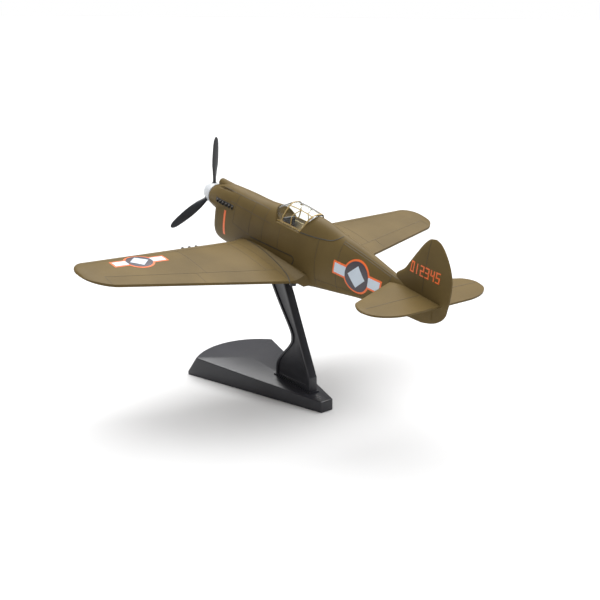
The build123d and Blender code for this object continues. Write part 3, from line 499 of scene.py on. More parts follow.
def box_solid(low, high):
    """A box in the aircraft's axes, from (aft, y, z) to (aft, y, z)."""
    corners = [(0, 0), (1, 0), (1, 1), (0, 1)]
    ends = (low, high)
    rings = []
    for aft in (low[0], high[0]):
        rings.append([to_row(aft, ends[a][1], ends[b][2]) for a, b in corners])
    return ring_solid(np.array(rings))


# ------------------------------------------------------------------ materials
def node_material(name):
    material = bpy.data.materials.new(name)
    material.use_nodes = True
    nodes = material.node_tree.nodes
    shader = nodes["Principled BSDF"]
    return material, nodes, material.node_tree.links, shader


def mottled(name, dark, light, scale, roughness, spread=0.06, bump=0.05, grain=2600.0, metallic=0.0,
            specular=0.5):
    """Finish whose colour drifts between two tones and whose gloss and surface carry a fine grain."""
    material, nodes, links, shader = node_material(name)
    place = nodes.new("ShaderNodeTexCoord")
    drift = nodes.new("ShaderNodeTexNoise")
    drift.inputs["Scale"].default_value = scale
    drift.inputs["Detail"].default_value = 4.0
    tones = nodes.new("ShaderNodeValToRGB")
    tones.color_ramp.elements[0].position = 0.3
    tones.color_ramp.elements[0].color = (*dark, 1.0)
    tones.color_ramp.elements[1].position = 0.7
    tones.color_ramp.elements[1].color = (*light, 1.0)
    fine = nodes.new("ShaderNodeTexNoise")
    fine.inputs["Scale"].default_value = grain
    fine.inputs["Detail"].default_value = 2.0
    gloss = nodes.new("ShaderNodeMapRange")
    gloss.inputs["To Min"].default_value = roughness - spread
    gloss.inputs["To Max"].default_value = roughness + spread
    relief = nodes.new("ShaderNodeBump")
    relief.inputs["Strength"].default_value = bump
    relief.inputs["Distance"].default_value = 0.0001
    links.new(place.outputs["Object"], drift.inputs["Vector"])
    links.new(place.outputs["Object"], fine.inputs["Vector"])
    links.new(drift.outputs["Fac"], tones.inputs["Fac"])
    links.new(tones.outputs["Color"], shader.inputs["Base Color"])
    links.new(fine.outputs["Fac"], gloss.inputs["Value"])
    links.new(gloss.outputs["Result"], shader.inputs["Roughness"])
    links.new(fine.outputs["Fac"], relief.inputs["Height"])
    links.new(relief.outputs["Normal"], shader.inputs["Normal"])
    shader.inputs["Metallic"].default_value = metallic
    shader.inputs["Specular IOR Level"].default_value = specular
    return material


def clear_plastic():
    """Clear moulding with a trace of unevenness in its gloss."""
    material, nodes, links, shader = node_material("clear_moulding")
    place = nodes.new("ShaderNodeTexCoord")
    noise = nodes.new("ShaderNodeTexNoise")
    noise.inputs["Scale"].default_value = 300.0
    gloss = nodes.new("ShaderNodeMapRange")
    gloss.inputs["To Min"].default_value = 0.02
    gloss.inputs["To Max"].default_value = 0.08
    links.new(place.outputs["Object"], noise.inputs["Vector"])
    links.new(noise.outputs["Fac"], gloss.inputs["Value"])
    links.new(gloss.outputs["Result"], shader.inputs["Roughness"])
    shader.inputs["Base Color"].default_value = (0.97, 0.98, 0.95, 1.0)
    shader.inputs["Transmission Weight"].default_value = 1.0
    shader.inputs["IOR"].default_value = 1.2
    return material


# Each finish: material name, panel colour it starts from or None, two factors on that colour or two
# tones, scale of the drift, roughness, and what differs from the usual values
FINISHES = {
    "olive": ("olive_paint", "paint", (0.88, 1.12), 90.0, 0.5,
              {"spread": 0.05, "bump": 0.10, "specular": 0.12}),
    "line": ("panel_ink", "lines", (0.8, 1.2), 300.0, 0.6, {}),
    "faint": ("faint_ink", "paint", (0.42, 0.55), 300.0, 0.6, {}),
    "orange": ("orange_print", "orange", (0.94, 1.04), 200.0, 0.4, {"spread": 0.04, "bump": 0.04}),
    "pale": ("pale_print", "pale", (0.96, 1.02), 200.0, 0.38, {"spread": 0.04, "bump": 0.04}),
    "disc": ("dark_print", "disc", (0.85, 1.1), 200.0, 0.36, {"spread": 0.04, "bump": 0.04}),
    "black": ("satin_black_moulding", "stand", (0.8, 1.3), 120.0, 0.3,
              {"spread": 0.05, "bump": 0.06, "grain": 3200.0}),
    "blade": ("blade_black", "blade", (0.8, 1.25), 160.0, 0.42, {"spread": 0.06, "bump": 0.08}),
    "spinner": ("spinner_paint", "spinner", (0.93, 1.0), 160.0, 0.3, {"spread": 0.05, "bump": 0.04}),
    "frame": ("ochre_frame_paint", "frames", (0.66, 0.9), 400.0, 0.38, {"spread": 0.05, "bump": 0.05}),
    "exhaust": ("sooty_black", None, ((0.012, 0.011, 0.010), (0.035, 0.03, 0.026)), 700.0, 0.6,
                {"spread": 0.1, "bump": 0.2}),
    "gun": ("dark_gunmetal", None, ((0.02, 0.02, 0.022), (0.05, 0.05, 0.052)), 600.0, 0.4,
            {"spread": 0.08, "bump": 0.1, "metallic": 0.6}),
    "cockpit": ("cockpit_tan", None, ((0.34, 0.27, 0.14), (0.44, 0.36, 0.2)), 500.0, 0.6, {}),
    "seat": ("seat_ochre", None, ((0.42, 0.33, 0.17), (0.52, 0.42, 0.23)), 500.0, 0.5, {}),
    "panel": ("panel_black", None, ((0.015, 0.015, 0.015), (0.04, 0.04, 0.04)), 900.0, 0.5, {}),
    "radiator": ("radiator_grey", None, ((0.03, 0.03, 0.03), (0.08, 0.08, 0.08)), 1500.0, 0.55,
                 {"spread": 0.1, "bump": 0.3}),
    "brass": ("turned_brass", None, ((0.55, 0.38, 0.14), (0.66, 0.48, 0.2)), 800.0, 0.3,
              {"spread": 0.08, "bump": 0.1, "metallic": 1.0}),
    "steel": ("zinc_plate", None, ((0.42, 0.43, 0.45), (0.55, 0.55, 0.57)), 900.0, 0.32,
              {"spread": 0.08, "bump": 0.1, "metallic": 1.0}),
}
MATERIALS = {}


def finish_of(name):
    """Each finish is made once, from the colours in the panel."""
    if name not in MATERIALS:
        if name == "clear":
            MATERIALS[name] = clear_plastic()
        else:
            label, source, tones, scale, roughness, others = FINISHES[name]
            if source:
                colour = getattr(bpy.context.scene.desk_fighter_colours, source)
                tones = [scaled(colour, factor) for factor in tones]
            MATERIALS[name] = mottled(label, *tones, scale, roughness, **others)
    return MATERIALS[name]


def scaled(colour, factor):
    return tuple(min(channel * factor, 1.0) for channel in colour[:3])


# ------------------------------------------------------------------ fuselage
def full_rings(table, stations):
    return ring_solid(to_row(*hull_point(stations[:, None], circle(96)[None], table)))


def fin_half_thick(share, level, chord):
    """Half thickness of the fin at a share of its chord: the wing's section, thinned to its top."""
    law, blunt = thickness_law(share, FIN_EDGE)
    thick = FIN_THICK * np.clip((FIN_CREST - level) / 8, 0.0, 1) ** 0.5 * np.clip(chord / 9, 0, 1) ** 0.5
    return thick * law + blunt * np.clip(chord / 6, 0, 1)


def fin_grid():
    """Fin and rudder: thin wing sections stacked upwards, each between its own two edges."""
    level = np.concatenate([np.linspace(-5.3, 14.0, 60), 17.5 - 3.5 * (np.linspace(1, 0, 22)[1:]) ** 2])
    le, te = np.moveaxis(smooth(FIN, level), -1, 0)
    chord = te - le
    turn = circle(56)
    share = (1 + np.cos(turn)) / 2
    y = np.sign(np.sin(turn)) * fin_half_thick(share, level[:, None], chord[:, None])
    return ring_solid(to_row(le[:, None] + chord[:, None] * share, y, level[:, None] + 0 * share))


def canopy_height(aft):
    """Roof line of the canopy: straight raked screen, then a low bow."""
    screen = SCREEN_FOOT[1] + (aft - SCREEN_FOOT[0]) * SCREEN_SLOPE
    roof = ROOF_CREST[1] - ROOF_BOW * (aft - ROOF_CREST[0]) ** 2
    return np.minimum(screen, roof)


def canopy_limits(z):
    """Front and rear ends of the canopy at a level."""
    foot = SILL_FOOT - (z - SILL) / SILL_FOOT_RISE * SILL_FOOT_RUN
    screen = SCREEN_FOOT[0] + (z - SCREEN_FOOT[1]) / SCREEN_SLOPE
    front = np.where(z > SCREEN_FOOT[1], np.minimum(screen, SCREEN_TOP_AFT), foot)
    return front, REAR_FOOT + (z - SILL) * REAR_LEAN


def canopy_point(along, turn, lift=0.0):
    """Canopy surface: a squared arch whose ends lie on the raked screen foot and the leaning hoop."""
    along, turn = np.broadcast_arrays(np.asarray(along, float), turn)
    aft = 42 + along * 12
    for _ in range(30):
        height = canopy_height(aft) - (SILL - 0.1)
        z = SILL - 0.1 + height * np.abs(np.sin(turn)) ** 0.72
        front, rear = canopy_limits(z)
        aft = 0.5 * aft + 0.5 * (front + along * (rear - front))
    y = (CANOPY_HALF + lift) * signed_power(np.cos(turn), 0.62)
    y *= 1 - 0.16 * np.clip((z - SILL) / 7, 0, 1) ** 2
    y *= 0.5 + 0.5 * np.sqrt(1 - np.clip((43.4 - aft) / 4.9, 0, 1) ** 2)
    return aft, y, z + lift * np.abs(np.sin(turn))


def cockpit_cutter():
    """The space that the canopy and the cockpit take out of the hull."""
    outline = [(SILL_FOOT, SILL), SCREEN_FOOT, (SCREEN_FOOT[0], 12.0), (57.6, 12.0), (52.75, SILL)]
    rings = [[to_row(aft, side, z) for aft, z in outline] for side in (-8.0, 8.0)]
    return ring_solid(np.array(rings))


def duct_rings(grow, front, back):
    """Solid that fills the chin duct: two squared ovals joined."""
    turn = circle(64)
    rows = []
    for aft in (front, back):
        y = (3.55 + grow) * signed_power(np.cos(turn), 0.8)
        z = DUCT_LEVEL + (3.45 + grow) * signed_power(np.sin(turn), 0.8)
        rows.append(to_row(aft + 0 * turn, y, z))
    return ring_solid(np.array(rows))


class OBJECT_OT_desk_fighter_fuselage(bpy.types.Operator):
    """Build the painted fuselage shell with its fin, cowl and air scoop"""
    bl_idname = "object.desk_fighter_fuselage"
    bl_label = "Fuselage"

    def execute(self, context):
        stations = np.concatenate([np.linspace(11.4, 13, 8), np.linspace(13.5, 103, 180)])
        shell = raw_object("fuselage_skin", [full_rings(HULL, stations)])
        cowl = raw_object("cowl", [full_rings(COWL, np.concatenate([np.linspace(6.6, 7.2, 5),
                                                                    np.linspace(7.5, 20, 30)]))])
        fin = raw_object("fin", [fin_grid()])
        cut(shell, [cowl, fin], "UNION")
        scoop = pipe(to_row(27, 0, 4.5), to_row(8.4, 0, 4.75), SCOOP, 32)
        cut(shell, [raw_object("scoop", [scoop])], "UNION")
        cutters = [
            raw_object("cockpit_space", [cockpit_cutter()]),
            raw_object("cockpit_well", [box_solid((42.2, -2.68, -1.8), (52.4, 2.68, 5.0))]),
            raw_object("duct_space", [duct_rings(0.0, 10.0, 15.6)]),
        ]
        cut(shell, cutters)
        troughs = []
        for side in (1, -1):
            line = pipe(to_row(9.0, side * 2.7, 4.35), to_row(19.0, side * 2.75, 5.15), TROUGH, 20)
            troughs.append(raw_object(f"trough_{side}", [line]))
        cut(shell, troughs)
        dress(shell, "aircraft", finish_of("olive"), ("fuselage_left", "fuselage_right"))
        return {"FINISHED"}


# ------------------------------------------------------------------ wing and tail
def wing_grid():
    """Wing: closed section rings carried from tip to tip, closing to a point at each tip."""
    q = np.linspace(0, 1, 40)
    outer = HALF_SPAN - 7 * (1 - np.sin(q * np.pi / 2))
    inner = np.linspace(0, HALF_SPAN - 7, 70)[:-1]
    half = np.concatenate([inner, outer])
    y = np.concatenate([-half[:0:-1], half])
    turn = circle(92)
    share = (1 + np.cos(turn)) / 2
    le, te = wing_edges(y)
    aft = le[:, None] + (te - le)[:, None] * share
    spread = y[:, None] + 0 * share
    upper = wing_skin(aft, spread, 1)
    lower = wing_skin(aft, spread, -1)
    z = np.where(np.sin(turn) >= 0, upper, lower)
    return ring_solid(to_row(aft, spread, z))


def gear_fairings():
    """Teardrop fairing under each leading edge, and the flat retracted wheel behind it."""
    parts = []
    share = np.linspace(0, 1, 26)
    radius = 1.55 * np.sin(np.pi * share ** 0.62) ** 0.8
    for side in (1, -1):
        y = GEAR_OUT * side
        level = WING_LEVEL + 9 * DIHEDRAL - 1.1
        path = to_row(GEAR_AFT[0] + GEAR_AFT[1] * share, y, level + 0 * share)
        parts.append(tube(path, np.maximum(radius, 0.02) * MM, 24, UPWARD))
        depth, reach = np.array(WHEEL).T
        turn = circle(48)
        low = wing_skin(WHEEL_AFT + 0 * turn[:1], y + 0 * turn[:1], -1)[0]
        rings = to_row(WHEEL_AFT + reach[:, None] * np.cos(turn), y + reach[:, None] * np.sin(turn),
                       low + 0.35 - depth[:, None] + 0 * turn)
        parts.append(ring_solid(rings))
    return parts


class OBJECT_OT_desk_fighter_wing(bpy.types.Operator):
    """Build the wing with its root fillets, undercarriage fairings and belly"""
    bl_idname = "object.desk_fighter_wing"
    bl_label = "Wing"

    def execute(self, context):
        wing = raw_object("wing_skin", [wing_grid()] + gear_fairings())
        dress(wing, "aircraft", finish_of("olive"), ("wing",), 50.0)
        stations = np.linspace(28.0, 57.0, 60)
        turn = np.linspace(np.pi * 1.12, np.pi * 1.88, 48)
        outer = to_row(*hull_point(stations[:, None], turn[None], HULL, 0.05))
        aft, y, z = hull_point(stations[:, None], turn[None], HULL, -0.6)
        belly = raw_object("belly_skin", [slab(to_row(aft, y, np.minimum(z + 0.4, -11.4)), outer)])
        socket = raw_object("socket", [box_solid((35.3, -1.42, -20), (44.1, 1.42, BELLY_SEAT))])
        slot = raw_object("slot", [box_solid((PEG[0] - PEG_GAP, -PEG[2] - PEG_GAP, -20),
                                             (PEG[1] + PEG_GAP, PEG[2] + PEG_GAP, -7))])
        cut(belly, [socket, slot])
        dress(belly, "aircraft", finish_of("olive"), ("belly_fairing",))
        return {"FINISHED"}


def tail_edges(span):
    return rounded_edges(span, TAIL_HALF_SPAN, TAIL_ROOT, (TAIL_SWEEP, 0.0), TAIL_POINT, TAIL_ROUND)


def tail_half_thick(share, span, chord):
    """Half thickness of a tailplane at a share of its chord: the wing's section, thinned to the tip."""
    law, blunt = thickness_law(share, TAIL_EDGE)
    thick = TAIL_THICK[0] + (TAIL_THICK[1] - TAIL_THICK[0]) * span / TAIL_HALF_SPAN
    return (thick * law + blunt) * np.clip(chord / 6, 0, 1) ** 0.5


def tail_grid(side):
    """One tailplane: thin symmetrical sections from inside the hull out to a rounded tip."""
    q = np.linspace(0, 1, 40)
    outer = TAIL_HALF_SPAN - TAIL_TIP_SPAN * (1 - np.sin(q * np.pi / 2))
    span = np.concatenate([np.linspace(0.4, TAIL_HALF_SPAN - TAIL_TIP_SPAN, 20)[:-1], outer])
    le, te = tail_edges(span)
    turn = circle(64)
    share = (1 + np.cos(turn)) / 2
    chord = (te - le)[:, None]
    z = TAIL_LEVEL + np.sign(np.sin(turn)) * tail_half_thick(share, span[:, None], chord)
    return ring_solid(to_row(le[:, None] + chord * share, side * span[:, None] + 0 * share, z))


class OBJECT_OT_desk_fighter_tailplanes(bpy.types.Operator):
    """Build the two tailplanes"""
    bl_idname = "object.desk_fighter_tailplanes"
    bl_label = "Tailplanes"

    def execute(self, context):
        for name, side in (("left", 1), ("right", -1)):
            piece = raw_object(f"tailplane_{name}_skin", [tail_grid(side)])
            dress(piece, "aircraft", finish_of("olive"), (f"tailplane_{name}",), 50.0)
        return {"FINISHED"}


# ------------------------------------------------------------------ canopy and cockpit
def canopy_bar(along, turn, width):
    """A frame bar along a path on the canopy, square to its surface."""
    along, turn = np.broadcast_arrays(np.asarray(along, float), turn)
    path = to_row(*canopy_point(along, turn, BAR_LIFT))
    step = 1e-3
    d_along = to_row(*canopy_point(along + step, turn, BAR_LIFT)) - path
    d_turn = to_row(*canopy_point(along, turn + step, BAR_LIFT)) - path
    normal = np.cross(d_turn, d_along)
    normal /= np.linalg.norm(normal, axis=1)[:, None]
    return ribbon(path, normal, width, BAR_HEIGHT)


def hoop_along(turn):
    """Where the straight raked front hoop crosses each turn, found by repeated substitution."""
    along = np.full(np.shape(turn), 0.3)
    for _ in range(20):
        z = canopy_point(along, turn)[2]
        front, rear = canopy_limits(z)
        along = (HOOP_FOOT + (z - SILL) * HOOP_LEAN - front) / (rear - front)
    return along


class OBJECT_OT_desk_fighter_canopy(bpy.types.Operator):
    """Build the clear canopy, its painted frames and the finishes of the cockpit pieces"""
    bl_idname = "object.desk_fighter_canopy"
    bl_label = "Canopy"

    def execute(self, context):
        along = np.linspace(0, 1, 60)
        turn = np.linspace(0.02, np.pi - 0.02, 72)
        outer = to_row(*canopy_point(along[:, None], turn[None]))
        inner = to_row(*canopy_point(along[:, None], turn[None], -CANOPY_WALL))
        glass = raw_object("canopy_clear", [slab(inner, outer)])
        dress(glass, "aircraft", finish_of("clear"), ("canopy_glass",), 40.0)
        across = np.linspace(0.03, np.pi - 0.03, 60)
        bars = [canopy_bar(hoop_along(across), across, 0.36), canopy_bar(0.985, across, 0.42)]
        rail = np.linspace(*RAIL_TURNS, 30)
        rail_along = np.linspace(hoop_along(rail[:1])[0], 1.0, 30)
        pillar = np.linspace(SILL_TURN, 0.97, 16)
        for near, mirrored in ((0.0, 1.0), (np.pi, -1.0)):
            bars.append(canopy_bar(np.linspace(0.0, 1.0, 40), near + mirrored * SILL_TURN, 0.4))
            bars.append(canopy_bar(rail_along, near + mirrored * rail, 0.26))
            bars.append(canopy_bar(PILLAR_ALONG, near + mirrored * pillar, 0.22))
        frames = raw_object("canopy_frames", bars)
        dress(frames, "aircraft", finish_of("frame"))
        for node, finish in (("cockpit_tub", "cockpit"), ("instrument_panel", "panel"),
                             ("control_stick", "panel"), ("pilot_seat", "seat")):
            recoat(node, finish)
        return {"FINISHED"}


def recoat(node, finish):
    """A carried-over node keeps its mesh and gets the finished material."""
    data = frame["nodes"][node].data
    if not data.materials:
        data.materials.append(None)
    for index in range(len(data.materials)):
        data.materials[index] = finish_of(finish)


# ------------------------------------------------------------------ nose pieces
class OBJECT_OT_desk_fighter_propeller(bpy.types.Operator):
    """Build the propeller blades, hub and spinner"""
    bl_idname = "object.desk_fighter_propeller"
    bl_label = "Propeller"

    def execute(self, context):
        sizes = context.scene.desk_fighter_sizes
        radius = sizes.propeller_radius / MM
        tip = radius - 2 * np.linspace(1, 0, 20)[1:] ** 2
        reach = np.concatenate([np.linspace(1.2, radius - 2, 46), tip])
        share = reach / radius
        width = np.interp(share, *BLADE_WIDTH)
        width *= np.sqrt(np.clip(1 - np.clip((share - 0.86) / 0.14, 0, 1) ** 2, 1e-4, 1))
        thick = np.minimum(np.interp(share, *BLADE_THICK), width)
        twist = np.radians(np.interp(share, *BLADE_TWIST))
        around = circle(36)
        chord = width[:, None] / 2 * np.cos(around)
        depth = thick[:, None] / 2 * np.sin(around) * np.abs(np.sin(around)) ** 0.3
        forward = chord * np.sin(twist)[:, None] - depth * np.cos(twist)[:, None]
        rise = chord * np.cos(twist)[:, None] + depth * np.sin(twist)[:, None]
        turns = [math.radians(sizes.first_blade + 360 // BLADE_COUNT * index) for index in range(BLADE_COUNT)]
        blades = []
        for turn in turns:
            y = reach[:, None] * math.cos(turn) - rise * math.sin(turn)
            z = reach[:, None] * math.sin(turn) + rise * math.cos(turn)
            blades.append(ring_solid(to_row(PROPELLER_AFT - forward, y, z)))
        piece = raw_object("propeller_blades", blades + [turned(HUB, 40)])
        dress(piece, "propeller", finish_of("blade"), ("propeller",), 45.0)
        share = np.linspace(0, 1, 36)
        nose = np.stack([SPINNER_LENGTH * share, SPINNER_RADIUS * np.sin(np.pi / 2 * share ** 0.62)], -1)
        nose[0, 1] = 0.001
        spinner = raw_object("spinner_cap", [turned(np.vstack([nose, SPINNER_BACK]), 72)])
        holes = []
        for turn in turns:
            along = np.linspace(1.6, 6, 4)
            path = to_row(PROPELLER_AFT + 0 * along, along * math.cos(turn), along * math.sin(turn))
            holes.append(raw_object("blade_hole", [tube(path, np.full(4, BLADE_HOLE) * MM, 24, FORWARD)]))
        cut(spinner, holes)
        dress(spinner, "propeller", finish_of("spinner"), ("spinner",), 35.0)
        recoat("propeller_shaft", "steel")
        recoat("shaft_collar", "brass")
        recoat("nose_bush", "brass")
        return {"FINISHED"}


class OBJECT_OT_desk_fighter_exhausts(bpy.types.Operator):
    """Build the exhaust stubs on both sides of the cowl"""
    bl_idname = "object.desk_fighter_exhausts"
    bl_label = "Exhausts"

    def execute(self, context):
        sizes = context.scene.desk_fighter_sizes
        for name, side in (("left", 1), ("right", -1)):
            parts = []
            aft = np.linspace(*EXHAUST_ENDS, 24)[:, None]
            y = np.minimum(np.interp(aft, COWL[:, 0], COWL[:, 3]), 4.5) + 0.05
            level = EXHAUST_LEVEL + EXHAUST_HEIGHT * np.array([-0.5, 0.5])
            parts.append(slab(to_row(aft, side * (y - 1.0), level), to_row(aft, side * y, level)))
            for index in range(sizes.exhaust_count):
                place = STUB_FIRST + index * STUB_RUN / sizes.exhaust_count
                y = float(np.interp(place, COWL[:, 0], COWL[:, 3]))
                root = to_row(place, side * (y - 0.5), 0.95)
                mouth = to_row(place + 1.2, side * (y + 0.5), 0.7)
                parts.append(pipe(root, mouth, lipped(0.4, 0.26, 0.4), 18, 1.2, UPWARD))
            piece = raw_object(f"exhaust_row_{name}", parts)
            dress(piece, "aircraft", finish_of("exhaust"), (f"exhausts_{name}",))
        return {"FINISHED"}


class OBJECT_OT_desk_fighter_guns(bpy.types.Operator):
    """Build the gun barrels in the wing's leading edges"""
    bl_idname = "object.desk_fighter_guns"
    bl_label = "Gun barrels"

    def execute(self, context):
        for name, side in (("left", 1), ("right", -1)):
            parts = []
            for y in GUN_PLACES:
                le = WING_ROOT[0] + LE_SWEEP * y
                level = WING_LEVEL + (y - WING_CENTRE) * DIHEDRAL
                parts.append(pipe(to_row(le + 2.2, side * y, level), to_row(le - 1.95, side * y, level),
                                  lipped(0.4, 0.22, 0.25), 20))
                parts.append(pipe(to_row(le + 1.5, side * y, level), to_row(le - 0.35, side * y, level),
                                  GUN_SLEEVE, 20))
            piece = raw_object(f"gun_row_{name}", parts)
            dress(piece, "aircraft", finish_of("gun"), (f"gun_barrels_{name}",))
        return {"FINISHED"}


class OBJECT_OT_desk_fighter_intake(bpy.types.Operator):
    """Build the radiator faces inside the chin intake and coat the hidden screws"""
    bl_idname = "object.desk_fighter_intake"
    bl_label = "Chin intake"

    def execute(self, context):
        parts = [duct_rings(-0.05, 14.4, 15.6)]
        for radius, y, z in RADIATOR_RINGS:
            turn = np.linspace(0, 2 * np.pi, 40)
            ring = to_row(14.3 + 0 * turn, y + radius * np.cos(turn), z + radius * np.sin(turn))
            parts.append(tube(ring, np.full(40, 0.12) * MM, 8, FORWARD))
            for offset in np.linspace(-radius, radius, 7)[1:-1]:
                half = math.sqrt(radius ** 2 - offset ** 2)
                bar = to_row(14.35, y + np.array([-half, 0, half]), z + offset)
                parts.append(tube(bar, np.full(3, 0.05) * MM, 6, FORWARD))
        piece = raw_object("radiator_faces", parts)
        dress(piece, "aircraft", finish_of("radiator"), ("radiator_insert",))
        recoat("wing_screws", "gun")
        recoat("arm_screw", "steel")
        return {"FINISHED"}


# ------------------------------------------------------------------ markings
def disc_grid(radius, steps=28):
    """A disc as a square grid bent to a circle."""
    a, b = np.meshgrid(np.linspace(-1, 1, steps), np.linspace(-1, 1, steps), indexing="ij")
    return radius * a * np.sqrt(1 - b ** 2 / 2), radius * b * np.sqrt(1 - a ** 2 / 2)


def bar_grid(length, width, centre=(0.0, 0.0), turn=0.0, steps=(26, 8)):
    """A straight bar as a grid, turned about its centre."""
    a, b = np.meshgrid(np.linspace(-length / 2, length / 2, steps[0]),
                       np.linspace(-width / 2, width / 2, steps[1]), indexing="ij")
    return (centre[0] + a * math.cos(turn) - b * math.sin(turn),
            centre[1] + a * math.sin(turn) + b * math.cos(turn))


def side_decal(aft, z, side, layer):
    """Thin print on the fuselage side, following the hull's width at each point."""
    y = hull_side(aft, z)
    return slab(to_row(aft, side * (y - 0.15), z), to_row(aft, side * (y + DECAL_LIFT * layer), z))


def wing_decal(aft, y, face, layer):
    """Thin print on the wing's upper or lower surface."""
    top = wing_skin(aft, y, face, DECAL_LIFT * layer)
    return slab(to_row(aft, y, wing_skin(aft, y, face, -0.12)), to_row(aft, y, top))


def fin_half(aft, z):
    le, te = np.moveaxis(smooth(FIN, z), -1, 0)
    return fin_half_thick(np.clip((aft - le) / (te - le), 0, 1), z, te - le)


def fin_decal(aft, z, side, layer):
    """Thin print on the side of the fin and rudder."""
    y = fin_half(aft, z)
    return slab(to_row(aft, side * (y - 0.12), z), to_row(aft, side * (y + DECAL_LIFT * layer), z))


def roundels(shape):
    """Where each mark goes: a function that lays a flat shape, given along and across, on the skin."""
    aft, level, radius, length, width = SIDE_MARK
    spots = []
    for side in (1, -1):
        spots.append((radius, length, width, lambda a, b, layer, side=side:
                      side_decal(aft + a, level + b, side, layer)))
    aft_w, across, radius_w, length_w, width_w = WING_MARK
    for face, side in ((1, 1), (-1, -1)):
        spots.append((radius_w, length_w, width_w, lambda a, b, layer, face=face, side=side:
                      wing_decal(aft_w - b, side * (across + a), face, layer)))
    return [shape(radius, length, width, lay) for radius, length, width, lay in spots]


class OBJECT_OT_desk_fighter_markings(bpy.types.Operator):
    """Print the roundels with plain lozenges, the cowl stripe and the plain fin figures"""
    bl_idname = "object.desk_fighter_markings"
    bl_label = "Markings"

    def execute(self, context):
        def orange(radius, length, width, lay):
            return [lay(*disc_grid(radius), 1.0), lay(*bar_grid(length, width, steps=(60, 14)), 1.0)]

        def pale(radius, length, width, lay):
            reach = (length - 2 * MARK_EDGE - 2 * radius + 1.2) / 2
            middle = length / 2 - MARK_EDGE - reach / 2
            bars = [lay(*bar_grid(reach, width - 2 * MARK_EDGE, (side * middle, 0)), 2.0) for side in (1, -1)]
            lozenge = lay(*bar_grid(radius * 0.92, radius * 0.92, turn=math.pi / 4, steps=(20, 20)), 3.6)
            return bars + [lozenge]

        def dark(radius, length, width, lay):
            return [lay(*disc_grid(radius - MARK_EDGE), 2.8)]

        prints = {"orange": [], "pale": [], "disc": []}
        for shape, name in ((orange, "orange"), (pale, "pale"), (dark, "disc")):
            for group in roundels(shape):
                prints[name].extend(group)
        for side in (1, -1):
            level, aft = np.meshgrid(np.linspace(*STRIPE_LEVELS, 40), np.linspace(*STRIPE_AFT, 5),
                                     indexing="ij")
            prints["orange"].append(side_decal(aft, level, side, 1.4))
            prints["orange"].extend(figures(side))
        for name, parts in prints.items():
            piece = raw_object(f"{name}_markings", parts)
            dress(piece, "aircraft", finish_of(name), (), 60.0)
        return {"FINISHED"}


STROKES = {
    "0": [(0, 0, 0, 2), (0, 2, 1, 2), (1, 2, 1, 0), (1, 0, 0, 0)],
    "1": [(0.5, 0, 0.5, 2)],
    "2": [(0, 2, 1, 2), (1, 2, 1, 1), (1, 1, 0, 1), (0, 1, 0, 0), (0, 0, 1, 0)],
    "3": [(0, 2, 1, 2), (1, 2, 1, 0), (0, 1, 1, 1), (0, 0, 1, 0)],
    "4": [(0, 2, 0, 1), (0, 1, 1, 1), (1, 2, 1, 0)],
    "5": [(1, 2, 0, 2), (0, 2, 0, 1), (0, 1, 1, 1), (1, 1, 1, 0), (1, 0, 0, 0)],
}


def figures(side):
    """Plain counting figures on the fin, as straight strokes; they read nose to tail or tail to nose."""
    prints = []
    text = "012345"
    for index, digit in enumerate(text):
        place = index if side > 0 else len(text) - 1 - index
        for x0, z0, x1, z1 in STROKES[digit]:
            if side < 0:
                x0, x1 = 1 - x0, 1 - x1
            length = math.hypot(x1 - x0, (z1 - z0) * 1.2) + 0.35
            centre = (FIGURE_FIRST[0] + place * FIGURE_PITCH + 0.95 * (x0 + x1) / 2,
                      FIGURE_FIRST[1] + 1.25 * (z0 + z1) / 2)
            turn = math.atan2((z1 - z0) * 1.2, (x1 - x0))
            prints.append(fin_decal(*bar_grid(length, FIGURE_WIDTH, centre, turn, (8, 3)), side, 1.2))
    return prints


def surface_ribbon(maker, width, height=0.06):
    """Thin inked line on a skin; maker gives points for a lift, and the normal comes from two lifts."""
    path = to_row(*maker(0.0))
    normal = to_row(*maker(0.3)) - path
    normal /= np.linalg.norm(normal, axis=1)[:, None]
    return ribbon(path, normal, width, height)


# Runs of (distance aft, level) down one side of the hull
FINE_RUNS = (
    ((13.4, 5.0), (13.4, -8.5)), ((22.4, 4.8), (22.4, -3.6)), ((30.8, 5.2), (30.8, -4.4)),
    ((37.3, 5.6), (37.3, -4.2)), ((45.0, 2.6), (45.0, -4.0)), ((61.2, 4.8), (61.2, -10.0)),
    ((69.6, 6.8), (69.6, -8.4)), ((88.0, 3.6), (88.0, -5.4)), ((13.4, 2.4), (40.5, 2.2)),
    ((13.4, 4.9), (38.0, 5.5)), ((22.4, -3.6), (33.0, -4.6)), ((69.6, 6.0), (78.0, 4.9), (88.0, 3.2)),
    ((61.2, -7.4), (88.0, -4.6)), ((69.6, 6.5), (78.0, 5.4), (90.0, 3.3)),
)
BOLD_FACTOR = 2.4
BOLD_RUNS = (
    ((53.4, 3.9), (58.0, 4.3), (63.0, 5.0), (65.4, 5.5), (67.2, 6.5), (68.0, 7.35)),
    ((32.0, -4.7), (38.0, -4.4), (46.0, -4.0), (51.6, -3.8), (52.5, -4.5), (52.2, -5.6), (50.6, -7.6)),
)
# Spanwise joints on the wing: spans of the two ends and shares of the chord there; then the ribs
WING_RUNS = (((33.0, 58.0), (0.78, 0.74)), ((8.8, 33.0), (0.80, 0.78)), ((8.8, 59.0), (0.16, 0.18)))
WING_RIBS = ((58.0, 0.74, 0.97), (33.0, 0.78, 0.98), (12.0, 0.16, 0.8), (30.0, 0.05, 0.8), (8.8, 0.02, 0.98))
FILLET_EDGE = np.array([(30.5, 5.0), (36.4, 5.4), (43.0, 6.0), (50.6, 6.9), (55.0, 8.0), (57.6, 9.3)])


